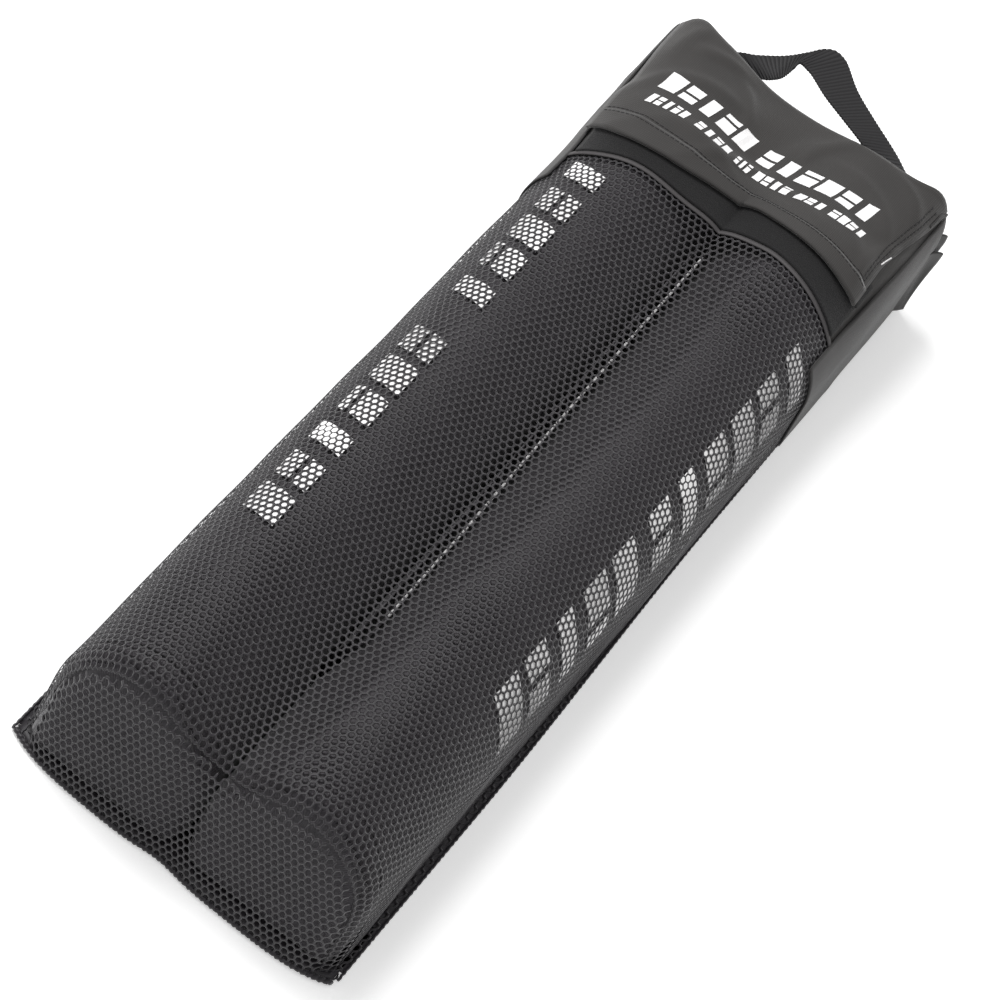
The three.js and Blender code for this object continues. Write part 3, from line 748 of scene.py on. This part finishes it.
def print_blocks(name, places, tall, slant, place, lift):
    """Blocks with slanted edges. Each place is (start, length) along, and tall is (from, to) across."""
    points, faces = [], []
    for index, (start, length) in enumerate(places):
        for corners in BLOCK_SHAPES[index % len(BLOCK_SHAPES)]:
            first, second, third, fourth = np.array(corners, float)
            base = len(points)
            for i in range(9):
                for j in range(4):
                    low_side = first + (second - first) * i / 8
                    across, along = low_side + (fourth + (third - fourth) * i / 8 - low_side) * j / 3
                    up = tall[0] + (tall[1] - tall[0]) * across
                    points.append((up, start + length * along + slant * across))
            faces += [
                (base + 4 * i + j, base + 4 * i + j + 1, base + 4 * i + j + 5, base + 4 * i + j + 4)
                for i in range(8) for j in range(3)
            ]
    points = np.array(points)
    mesh = bpy.data.meshes.new(name)
    mesh.from_pydata((place(points[:, 0], points[:, 1]) * MM).tolist(), [], faces)
    piece = bpy.data.objects.new(name, mesh)
    bpy.context.collection.objects.link(piece)
    pick(piece)
    bpy.ops.object.mode_set(mode="EDIT")
    bpy.ops.mesh.select_all(action="SELECT")
    bpy.ops.mesh.normals_make_consistent(inside=False)
    bpy.ops.object.mode_set(mode="OBJECT")
    thicken(piece, lift, 0)
    return dress(piece, white_print)


def row_of_blocks(start, pitch, count, length):
    return [(start + pitch * i, length) for i in range(count)]


RIGHT_BLOCKS = row_of_blocks(-192, 29.5, 5, 22) + row_of_blocks(-36, 30, 6, 22.5)
LEFT_BLOCKS = row_of_blocks(-198, 29.5, 6, 22) + row_of_blocks(2, 29.5, 5, 22)
print_blocks("right_pad_print", RIGHT_BLOCKS, (36, 74), -9, pad_place(1, 1.35), 0.3)
print_blocks("left_pad_print", LEFT_BLOCKS, (-14, -44), 9, pad_place(-1, 1.35), 0.3)
print("print blocks laid")

# %% [markdown]
# ## Closure flaps between the pads
# Each pad closes on itself with a strip of touch tape under a long flap. The flaps stand in the
# gap between the pads, and the edge of the right one carries a row of white stitches that shows
# through the mesh. The left one's row is the same white thread darkened to grey, as painted shade deeper in
# the gap.

# %% Closure flaps, tapes and their stitches
CLOSURE = (-208, 157)  # where along the pads the flaps run
FLAP_TALL = 72


def edge_of_flap(y):
    return np.interp(y, (-188.6, -110.3, -26.3, 61.5, 153), (10.2, 9.5, 7.7, 6.2, 5.4))


def flap_profile(sign, shift):
    def place(height, y):
        bend = smoothstep(height, 38, FLAP_TALL)
        foot = sign * 1.3
        return xyz(foot + (edge_of_flap(y) + shift - foot) * bend, y, 9 + height * 0.9)
    return place


for side, sign, shift in (("left", -1, -5.6), ("right", 1, 0)):
    strip = flat_grid(f"{side}_closure_cloth", (0, FLAP_TALL), CLOSURE, 5)
    place_sheet(strip, flap_profile(sign, shift), 0.8)
    dress(strip, cover_cloth, (f"{side}_closure_flap",))
    line = np.linspace(-186, 156, 60)
    row = flap_profile(sign, shift)(np.full_like(line, 71.0), line)
    row[:, 2] += 0.9
    if side == "right":
        stitches("right_closure_stitches", row, 6.6, 5.2, 0.85, white_thread)
    else:
        # White stitches with painted shade: drawn grey because they lie deeper in the gap.
        stitches("left_closure_stitches", row, 11.5, 8.6, 0.6, shaded_white_thread)
    for kind, near_x in (("loop", 3.75), ("hook", 2.5)):
        tape = flat_grid(f"{side}_{kind}_strip", (8.3, 33.3), CLOSURE, 8)
        place_sheet(tape, lambda z, y, x=sign * near_x: xyz(x, y, z), 0.8)
        dress(tape, loop_pile, (f"{side}_{kind}_tape",))
print("closure flaps and tapes")

# %% [markdown]
# ## The open mesh
# The knit is a lattice of six-sided holes 4.2 mm apart across and 4.3 mm from row to row.
# One cell is modelled: the edges of a hexagon are extruded inwards, which leaves a ring of
# six short strands. The ring's outer line, the middle of each strand, is raised, so a strand is
# round rather than flat. A mirrored copy closes it below. Arrays repeat the cell over the flat
# cloth, and the flat cloth is then laid over the pads.

# %% One cell of the knit and its arrays
CELL_WIDTH = 4.2
ROW_PITCH = 4.3
HOLE_SHARE = 0.69
STRAND_HEIGHT = 0.35
MERGE = 0.001  # points closer than this become one


def knit(name, width, length, origin):
    """A flat piece of knit in millimetres, with its lower left corner at the origin given."""
    bpy.ops.object.select_all(action="DESELECT")
    bpy.context.tool_settings.mesh_select_mode = (True, False, False)
    bpy.ops.mesh.primitive_circle_add(vertices=6, radius=1, fill_type="NOTHING")
    piece = bpy.context.object
    piece.name = name
    cell_height = ROW_PITCH * 4 / 3
    points = points_of(piece)
    points[:, 0] *= CELL_WIDTH / 2 / np.abs(points[:, 0]).max()
    points[:, 1] *= cell_height / 2 / np.abs(points[:, 1]).max()
    move_points(piece, points)
    bpy.ops.object.mode_set(mode="EDIT")
    bpy.ops.mesh.select_all(action="SELECT")
    bpy.ops.mesh.extrude_region()
    bpy.ops.transform.resize(value=(HOLE_SHARE, HOLE_SHARE, 1))
    bpy.ops.object.mode_set(mode="OBJECT")
    points = points_of(piece)
    outer = np.hypot(points[:, 0] / CELL_WIDTH, points[:, 1] / cell_height) > 0.42
    points[:, 2] = np.where(outer, STRAND_HEIGHT / 2, 0)
    move_points(piece, points)
    bpy.ops.object.mode_set(mode="EDIT")
    bpy.ops.mesh.select_all(action="SELECT")
    bpy.ops.mesh.duplicate_move(TRANSFORM_OT_translate={"value": (0, 0, 0)})
    bpy.ops.transform.resize(value=(1, 1, -1), center_override=(0, 0, 0))
    bpy.ops.mesh.flip_normals()
    bpy.ops.mesh.select_all(action="SELECT")
    bpy.ops.mesh.remove_doubles(threshold=MERGE)
    bpy.ops.mesh.duplicate_move(TRANSFORM_OT_translate={"value": (CELL_WIDTH / 2, ROW_PITCH, 0)})
    bpy.ops.mesh.select_all(action="SELECT")
    bpy.ops.mesh.remove_doubles(threshold=MERGE)
    bpy.ops.object.mode_set(mode="OBJECT")
    for count, offset in (
        (math.ceil(width / CELL_WIDTH) + 1, (CELL_WIDTH, 0, 0)),
        (math.ceil(length / ROW_PITCH / 2) + 1, (0, 2 * ROW_PITCH, 0)),
    ):
        array = piece.modifiers.new("repeat", "ARRAY")
        array.count = count
        array.use_relative_offset = False
        array.use_constant_offset = True
        array.constant_offset_displace = offset
        array.use_merge_vertices = True
        array.merge_threshold = MERGE
        apply_modifiers(piece)
    move_points(piece, points_of(piece) + np.array([origin[0], origin[1], 0]))
    return piece


def trim(piece, keep):
    """Deletes the faces whose middle lies outside the cloth."""
    centres = np.zeros(len(piece.data.polygons) * 3)
    piece.data.polygons.foreach_get("center", centres)
    inside = keep(centres.reshape(-1, 3))
    piece.data.polygons.foreach_set("select", ~inside)
    bpy.context.tool_settings.mesh_select_mode = (False, False, True)
    bpy.ops.object.mode_set(mode="EDIT")
    bpy.ops.mesh.delete(type="FACE")
    bpy.context.tool_settings.mesh_select_mode = (True, False, False)
    bpy.ops.mesh.select_all(action="DESELECT")
    bpy.ops.mesh.select_non_manifold(extend=False)
    bpy.ops.mesh.fill_holes(sides=8)
    bpy.ops.object.mode_set(mode="OBJECT")


def lay_knit(piece, place, replaced):
    points = points_of(piece)
    u, v = points[:, 0], points[:, 1]
    store_cloth(piece, u, v)
    base = place(u, v)
    placed = base + outward(place, u, v) * points[:, 2:3]
    move_points(piece, placed * MM)
    pick(piece)
    bpy.ops.object.shade_smooth()
    dress(piece, knitted_mesh, replaced)
    print(piece.name, len(piece.data.polygons), "faces")


shell_length = MOUTH - NEAR


def flange(y):
    """Width of the seam allowance that lies on the floor beside the pads."""
    return FLANGE * (1 - smoothstep(y, -200, STRIP_END))


HALF_CELLS = math.ceil((FOOT_LINE + FLANGE) / CELL_WIDTH)
for side, sign in (("left", -1), ("right", 1)):
    start = -HALF_CELLS * CELL_WIDTH if sign < 0 else 0
    half = knit(f"mesh_front_{side}", HALF_CELLS * CELL_WIDTH, shell_length, (start, NEAR))
    trim(half, lambda c: (
        (c[:, 0] * sign > -0.01 * sign) & (np.abs(c[:, 0]) < FOOT_LINE + flange(c[:, 1]))
        & (c[:, 1] > NEAR) & (c[:, 1] < MOUTH)
    ))
    lay_knit(half, cloth(0.9, 0.6), ("mesh_front",))

# %% [markdown]
# ## The near end of the mesh
# The same knit closes the near end. It is trimmed to the outline of the bag's section, leans back
# as the pads' ends do, and rounds over at its upper edge to meet the cloth on top.

# %% Near end of the mesh
def edge_distance(x, z):
    """Distance in from the outline of the bag's section."""
    past = np.clip(np.abs(x) - PAD_X, 0, None)
    over_top = np.where(
        past > 0,
        REACH - np.hypot(past, np.clip(z - SHOULDER, 0, None) * REACH / CROWN),
        top_height(x, np.full_like(x, NEAR)) - z,
    )
    return np.minimum(over_top, BAG_SIDE - np.abs(x))


def near_wall(x, z):
    inset = np.clip(EDGE_ROUND - edge_distance(x, z), 0, EDGE_ROUND)
    y = near_end(x, z) + EDGE_ROUND - np.sqrt(EDGE_ROUND ** 2 - inset ** 2) - 0.9
    return xyz(x, y, z)


LAP = EDGE_ROUND * (1 - math.sin(EDGE_START))
wall_left = -math.ceil(BAG_SIDE / CELL_WIDTH) * CELL_WIDTH
WALL_ROWS = 22
wall_foot = SHOULDER + CROWN - LAP - WALL_ROWS * ROW_PITCH
end_knit = knit("mesh_near_end", 2 * BAG_SIDE + 8, PAD_TOP + 12, (wall_left, wall_foot))
trim(end_knit, lambda c: (edge_distance(c[:, 0], c[:, 1]) > LAP - 0.8) & (c[:, 1] > PAD_FOOT))
lay_knit(end_knit, near_wall, ())

# %% [markdown]
# ## The back of the mesh
# The pads lie on a flat piece of the same knit.

# %% Back of the mesh
back_knit = knit("mesh_back_panel", 2 * (BAG_SIDE + FLANGE), shell_length, (-BAG_SIDE - FLANGE, NEAR))
trim(back_knit, lambda c: (
    (np.abs(c[:, 0]) < BAG_SIDE + flange(c[:, 1])) & (c[:, 1] > near_end(c[:, 0], PAD_FOOT) + 2)
    & (c[:, 1] < MOUTH)
))
lay_knit(back_knit, lambda x, y: xyz(x, y, 0.5), ("mesh_back",))

# %% [markdown]
# ## Seams of the mesh
# Where the front and the back of the mesh meet, an overlocked seam runs around the foot of the
# bag. It is a thin cord with the small regular swellings that the looping threads give it. The
# spare knit outside it, the seam allowance, is a narrow strip that lies on the floor. It is widest
# at the near end and runs out along the sides.

# %% Seam cords
across_line = np.linspace(-BAG_SIDE - FLANGE + 0.5, BAG_SIDE + FLANGE - 0.5, 250)
near_seam = xyz(
    across_line, near_end(across_line, PAD_FOOT) - 0.2 + 0.5 * np.sin(across_line * 2.1),
    1.7 + 0.4 * np.cos(across_line * 2.1),
)
cord("mesh_near_seam", near_seam, 1.5, knitted_mesh)
for side, sign in (("left", -1), ("right", 1)):
    for place_name, outside in (("inner", 0.4), ("outer", 1.0)):
        along_line = np.linspace(NEAR + 7, MOUTH - 1, 260)
        shift = outside + (0 if outside < 1 else flange(along_line))
        seam = xyz(
            sign * (BAG_SIDE + shift + 0.25 * np.sin(along_line * 1.9)), along_line,
            1.5 + 0.25 * np.cos(along_line * 1.9),
        )
        cord(f"{side}_{place_name}_side_seam", seam, 0.8, knitted_mesh)
for side, sign in (("left", -1), ("right", 1)):
    sheet_piece(
        f"{side}_seam_allowance", (-4, 5.2), (NEAR + 12, 0), 4,
        lambda x, y: xyz(sign * (BAG_SIDE + x + flange(y) - 4.4), y, 1.1), 0.5,
        knitted_mesh, (),
    )
sheet_piece(
    "near_seam_allowance", (-BAG_SIDE - FLANGE + 1.2, BAG_SIDE + FLANGE - 1.2), (1, 42), 4,
    lambda x, y: xyz(x, near_end(x, PAD_FOOT) + y, 1.1), 0.5,
    knitted_mesh, (),
)

# %% [markdown]
# ## The header
# Past the mouth of the mesh the bag is plain woven cloth: a front panel that runs down both
# sides, a back, an end wall, and a doubled panel on each side.

# %% Header cloth panels
sheet_piece(
    "header_front_panel", (-FOOT_LINE, FOOT_LINE), (MOUTH, FAR), 4,
    cloth(0, 1.1), 1, header_cloth, ("header_front",),
)

SIDE_SPAN = (101, 168)  # cloth from the middle of the bag to the panel's two edges
for side, sign in (("left", -1), ("right", 1)):
    span = sorted((sign * SIDE_SPAN[0], sign * SIDE_SPAN[1]))
    sheet_piece(
        f"{side}_side_panel_cloth", span, (side_low[1], side_high[1]), 3,
        cloth(1.6, 0.4), 1, side_cloth_material, (f"{side}_side_panel",),
    )

# %% [markdown]
# ## Bands under the flap
# The flap closes on touch tape. The loop band is sewn on the header just past the mouth, the hook
# band under the flap's edge, and a narrow woven tape binds the cut edge of the mesh. All three
# follow the top of the bag by their plan, so their grids are laid with a function of x and y.

# %% Loop band, hook band and mouth tape
def top_cloth(lift, folds=0.0):
    """Cloth on top of the header, by its plan: x across and y along."""
    def bare(x, y):
        return xyz(x, y + bow(x, y), top_height(x, y))

    def place(x, y):
        height = (lift(x, y) if callable(lift) else lift) + wrinkles(x, y, folds) + creases(x, y, folds * 1.6)
        return bare(x, y) + outward(bare, x, y) * np.asarray(height)[..., None]
    return place


FLAP_HALF = flap_high[0] - 1
sheet_piece(
    "mouth_binding", (-FLAP_HALF, FLAP_HALF), (MOUTH - 3.4, MOUTH - 0.2), 1.7,
    top_cloth(1.3), 0.7, binding, ("mouth_tape",),
)
sheet_piece(
    "loop_pile_band", (band_low[0] + 5, band_high[0] - 5), (MOUTH - 0.2, band_high[1]), 2,
    top_cloth(1.3), 1.6, loop_pile, ("loop_band",),
)
sheet_piece(
    "hook_pile_band", (band_low[0] + 5, band_high[0] - 5), (hook_low[1], hook_high[1]), 3,
    top_cloth(3.2), 1, loop_pile, ("hook_band",),
)

# %% [markdown]
# ## The flap
# One cloth lies over the pile bands, settles on the header past them, turns over the far edge and
# hangs down the end wall. It is one flat grid whose points are rolled over that edge, so the weave
# and the print run on without a joint. Soft creases keep it from looking like a plate.

# %% Flap
FLAP_START = flap_low[1]
FLAP_TURN = FAR + 0.3
FLAP_HANG = 44


def flap_lift(x, y):
    """The flap lies on the two pile bands and settles on the header past them."""
    return 4.5 - 3.2 * smoothstep(y, band_high[1], band_high[1] + 25)


def flap_place(flat_x, v):
    narrower = np.where(flat_x < 0, 3.8, 9.4) * (1 - smoothstep(v, FLAP_START + 20, FAR))
    x = flat_x - np.sign(flat_x) * narrower * smoothstep(np.abs(flat_x), 70, FLAP_HALF)
    on_top = top_cloth(flap_lift, 1.3)
    radius = 1.3 + 5 * (x / FLAP_HALF) ** 4
    past = np.clip(v - FLAP_TURN, 0, None)
    arc = radius * np.pi / 2
    turned = np.clip(past / arc, 0, 1) * np.pi / 2
    hang = np.clip(past - arc, 0, None)
    edge = top_height(x, np.full_like(x, FLAP_TURN)) + 1.3
    y = FLAP_TURN + bow(x, FAR) + radius * np.sin(turned)
    folded = xyz(x, y, edge - radius * (1 - np.cos(turned)) - hang)
    return np.where((v > FLAP_TURN)[..., None], folded, on_top(x, np.minimum(v, FLAP_TURN)))


sheet_piece(
    "flap_cloth", (-FLAP_HALF, FLAP_HALF), (FLAP_START, FLAP_TURN + FLAP_HANG), 2.5,
    flap_place, 1, header_cloth, ("flap",),
)

# %% [markdown]
# ## Hem, stitches and print of the flap
# The flap's lower edge is turned under and sewn, so it is doubled there, with a row of stitches
# along the turn. Its right edge has a hem as well, and one white thread end shows on it.

# %% Hem and stitch rows
def over_flap(extra):
    def place(x, v):
        base = flap_place(x, v)
        return base + outward(flap_place, x, v) * extra
    return place


sheet_piece(
    "flap_lower_hem", (-FLAP_HALF, FLAP_HALF), (FLAP_START, FLAP_START + 13), 2.5,
    over_flap(1.05), 0.5, header_cloth, (),
)
for index, shift in enumerate((11.6, 14.2)):
    line_x = np.linspace(-FLAP_HALF + 2, FLAP_HALF - 2, 120)
    row = over_flap(1.55 if shift < 13 else 1.05)(line_x, np.full_like(line_x, FLAP_START + shift))
    stitches(f"flap_hem_stitches_{index}", row, 3.4, 2.5, 0.3, black_thread)
for index, shift in enumerate((4, 7)):
    line_y = np.linspace(FLAP_START + 3, FAR - 6, 60)
    row = over_flap(1.1)(np.full_like(line_y, FLAP_HALF - shift), line_y)
    stitches(f"flap_side_stitches_{index}", row, 3.4, 2.5, 0.3, black_thread)
tick_line = over_flap(1.3)(np.array([93.6, 94.0, 94.4]), np.array([214.0, 219.0, 224.0]))
cord("loose_white_thread", tick_line, 0.45, white_thread)


def flap_print(tilt):
    surface = over_flap(1.25)

    def place(across, along):
        return surface(along, across + tilt * along)
    return place


LARGE_ROW = row_of_blocks(-78.5, 12.9, 5, 10.4) + row_of_blocks(-8, 12.8, 6, 10.4)
SMALL_ROW = (
    row_of_blocks(-77, 5.0, 5, 3.6) + row_of_blocks(-47, 6.4, 4, 5.0) + row_of_blocks(-18, 4.0, 3, 3.0)
    + row_of_blocks(-3, 6.2, 4, 5.0) + row_of_blocks(25, 6.2, 3, 5.0) + row_of_blocks(46, 6.0, 4, 5.0)
)
print_blocks("flap_print_large", LARGE_ROW, (224, 238.5), 2.5, flap_print(0.07), 0.25)
print_blocks("flap_print_small", SMALL_ROW, (209, 216.5), 1.2, flap_print(0.07), 0.25)

# %% [markdown]
# ## Far end of the header
# The front folds down over the far end, and the spare cloth at both corners is tucked into
# layered folds.

# %% End wall, back and corner folds
def far_wall(x, share):
    top = top_height(x, np.full_like(x, FAR)) - 0.5
    z = 1.2 + (top - 1.2) * share
    slack = 0.8 * np.sin(np.pi * share) * (1 - (x / BAG_SIDE) ** 4)
    return xyz(x, FAR + 0.2 + slack * 0.4 + bow(x, FAR) * share ** 2, z)


def far_wall_flat(x, z):
    return far_wall(x, z / PAD_TOP)


sheet_piece(
    "header_far_wall", (-BAG_SIDE, BAG_SIDE), (0, PAD_TOP), 4, far_wall_flat, 0.8, header_cloth,
    ("header_end_wall",),
)
sheet_piece(
    "header_back_panel", (-BAG_SIDE, BAG_SIDE), (MOUTH, FAR), 6,
    lambda x, y: xyz(x, y, 0.1), 0.9, header_cloth,
    ("header_back",),
)
FOLDS = (((44, 87), 2.5), ((28, 73), 4.5), ((8, 59), 5.5))  # heights from and to, step out
FULL_FOLD = 22  # the left folds are shorter
for side, sign, fold_run in (("left", -1, 13), ("right", 1, FULL_FOLD)):
    for layer, (heights, step_out) in enumerate(FOLDS):
        def fold(run, z, sign=sign, layer=layer, step_out=step_out, top=heights[1]):
            share = run / FULL_FOLD
            wave = 0.7 * np.sin(run / 4 + z / 12 + layer * 1.9) * np.clip(share * 1.6, 0, 1)
            out = layer * 1.4 + step_out * share ** 2 + wave
            x = sign * (BAG_SIDE - 1.5 + out - 4 * np.clip((z - 62) / 22, 0, 1) ** 2)
            reach = 0.45 + 0.55 * smoothstep(z, 8, 52)
            droop = 5 * share ** 4 * smoothstep(z, top - 25, top)
            return xyz(x, FAR - 13 + run * reach + 0.6 * np.sin(z / 7 + layer), z - droop)
        sheet_piece(
            f"{side}_corner_fold_{layer}", (0, fold_run), heights, 1.6, fold, 0.9,
            side_cloth_material, (f"{side}_corner_tuck",) if layer == 0 else (),
        )

# %% [markdown]
# ## Carry handle
# The handle is a length of ribbed webbing. Its ends are sewn flat on the far wall. Between them it
# twists, leans out past the header and bends sharply at its highest place. Its two edges are drawn
# as smooth curves, and a flat grid is spread between them, with small ribs across.

# %% Handle
WALL = FAR + 3.8
HANDLE_WIDTH = 21
RIB_HEIGHT = 0.28
RIB_PITCH = 2.4
HANDLE_OUTER = (
    (-62, WALL, 56), (-62, WALL, 74), (-60.8, WALL + 1.5, 88.5), (-50, 293.5, 89), (-37.6, 308, 88),
    (-29, 321.7, 88), (-22.9, 332, 88.5), (-16.7, 336.2, 89), (-9.9, 335.6, 88.5), (-4.4, 332.4, 88),
    (9.6, 320, 88), (28.2, 309, 88), (46, 299.5, 88), (58.5, 292, 88), (67, WALL + 3, 86),
    (69, WALL, 74), (69, WALL, 56),
)
HANDLE_INNER = (
    (-43, WALL, 56), (-43, WALL, 70), (-42.8, WALL + 0.7, 81), (-35.4, 286, 85.7), (-30, 292.8, 87.4),
    (-28.9, 302.5, 87.8), (-29, 310, 88.5), (-26, 310.8, 88.5), (-22.5, 310, 88.5), (-17.2, 308.3, 88.5),
    (-3, 300.5, 88.5), (15, 293.8, 88), (30.5, 287.5, 88), (40, WALL + 1, 84),
    (46.5, WALL + 0.4, 77), (49, WALL, 66), (49, WALL, 52),
)


def smooth_curve(points):
    """Catmull-Rom curve through the points."""
    points = np.array(points, float)
    padded = np.vstack([2 * points[0] - points[1], points, 2 * points[-1] - points[-2]])
    out = []
    for a, b, c, d in zip(padded, padded[1:], padded[2:], padded[3:]):
        for t in np.linspace(0, 1, 24, endpoint=False):
            out.append(0.5 * (
                2 * b + (c - a) * t + (2 * a - 5 * b + 4 * c - d) * t * t + (3 * b - a - 3 * c + d) * t ** 3
            ))
    return np.vstack(out + [points[-1]])


outer_edge, inner_edge = smooth_curve(HANDLE_OUTER), smooth_curve(HANDLE_INNER)
middle = (outer_edge + inner_edge) / 2
handle_run = np.concatenate([[0], np.cumsum(np.linalg.norm(np.diff(middle, axis=0), axis=1))])
handle_length = handle_run[-1]


def along_handle(across, run):
    outer, inner = (
        np.stack([np.interp(run, handle_run, edge[:, k]) for k in range(3)], axis=-1)
        for edge in (outer_edge, inner_edge)
    )
    return outer + (inner - outer) * (across / HANDLE_WIDTH + 0.5)[..., None]


handle = flat_grid("handle_webbing", (-HANDLE_WIDTH / 2, HANDLE_WIDTH / 2), (0, handle_length), 0.6)
points = points_of(handle)
u, v = points[:, 0], points[:, 1]
store_cloth(handle, u, v)
rib = RIB_HEIGHT * np.cos(2 * np.pi * v / RIB_PITCH)
move_points(handle, (along_handle(u, v) + outward(along_handle, u, v) * rib[:, None]) * MM)
thicken(handle, 1.5, 0)
bpy.ops.object.shade_smooth()
dress(handle, webbing, ("handle",))
print("handle", round(handle_length), "mm of webbing")

# %% [markdown]
# ## Floor and light
# The floor is a plain pale plane. To the camera it is white, and it still takes the bag's soft
# shadow. One wide lamp from the upper left gives the cloth its sheen, and the world fills in.

# %% Floor, world and lamps
bpy.ops.object.select_all(action="DESELECT")
bpy.ops.mesh.primitive_plane_add(size=12, location=(0, 0, -0.0005))
floor = bpy.context.object
floor.name = "floor"
floor_material, floor_tree, floor_shader = new_material("pale_floor", "#f4f4f4", 0.9)
rays = add_node(floor_tree, "ShaderNodeLightPath")
seen = add_node(
    floor_tree, "ShaderNodeMath", {"operation": "MAXIMUM"},
    {0: rays.outputs["Is Camera Ray"], 1: rays.outputs["Is Glossy Ray"]},
)
glow = add_node(floor_tree, "ShaderNodeMath", {"operation": "MULTIPLY"}, {0: seen.outputs[0], 1: 0.35})
floor_shader.inputs["Emission Color"].default_value = (1, 1, 1, 1)
floor_tree.links.new(glow.outputs[0], floor_shader.inputs["Emission Strength"])
floor.data.materials.append(floor_material)

world = bpy.data.worlds.new("studio")
world.use_nodes = True
bpy.context.scene.world = world
sky = world.node_tree
background = sky.nodes["Background"]
sky_rays = add_node(sky, "ShaderNodeLightPath")
strength = add_node(
    sky, "ShaderNodeMapRange", {}, {0: sky_rays.outputs["Is Camera Ray"], 3: 0.48, 4: 1.0},
)
background.inputs["Color"].default_value = (1, 1, 1, 1)
sky.links.new(strength.outputs[0], background.inputs["Strength"])


def area_lamp(name, place, size, watts):
    bpy.ops.object.light_add(type="AREA", location=place)
    lamp = bpy.context.object
    lamp.name = name
    lamp.data.size = size
    lamp.data.energy = watts
    lamp.rotation_euler = (Vector((0, 0, 0)) - Vector(place)).to_track_quat("-Z", "Y").to_euler()
    return lamp


area_lamp("key_lamp", (-1.3, 0.6, 2.5), 1.2, 64)
area_lamp("fill_lamp", (1.5, -1.2, 1.8), 1.6, 7)
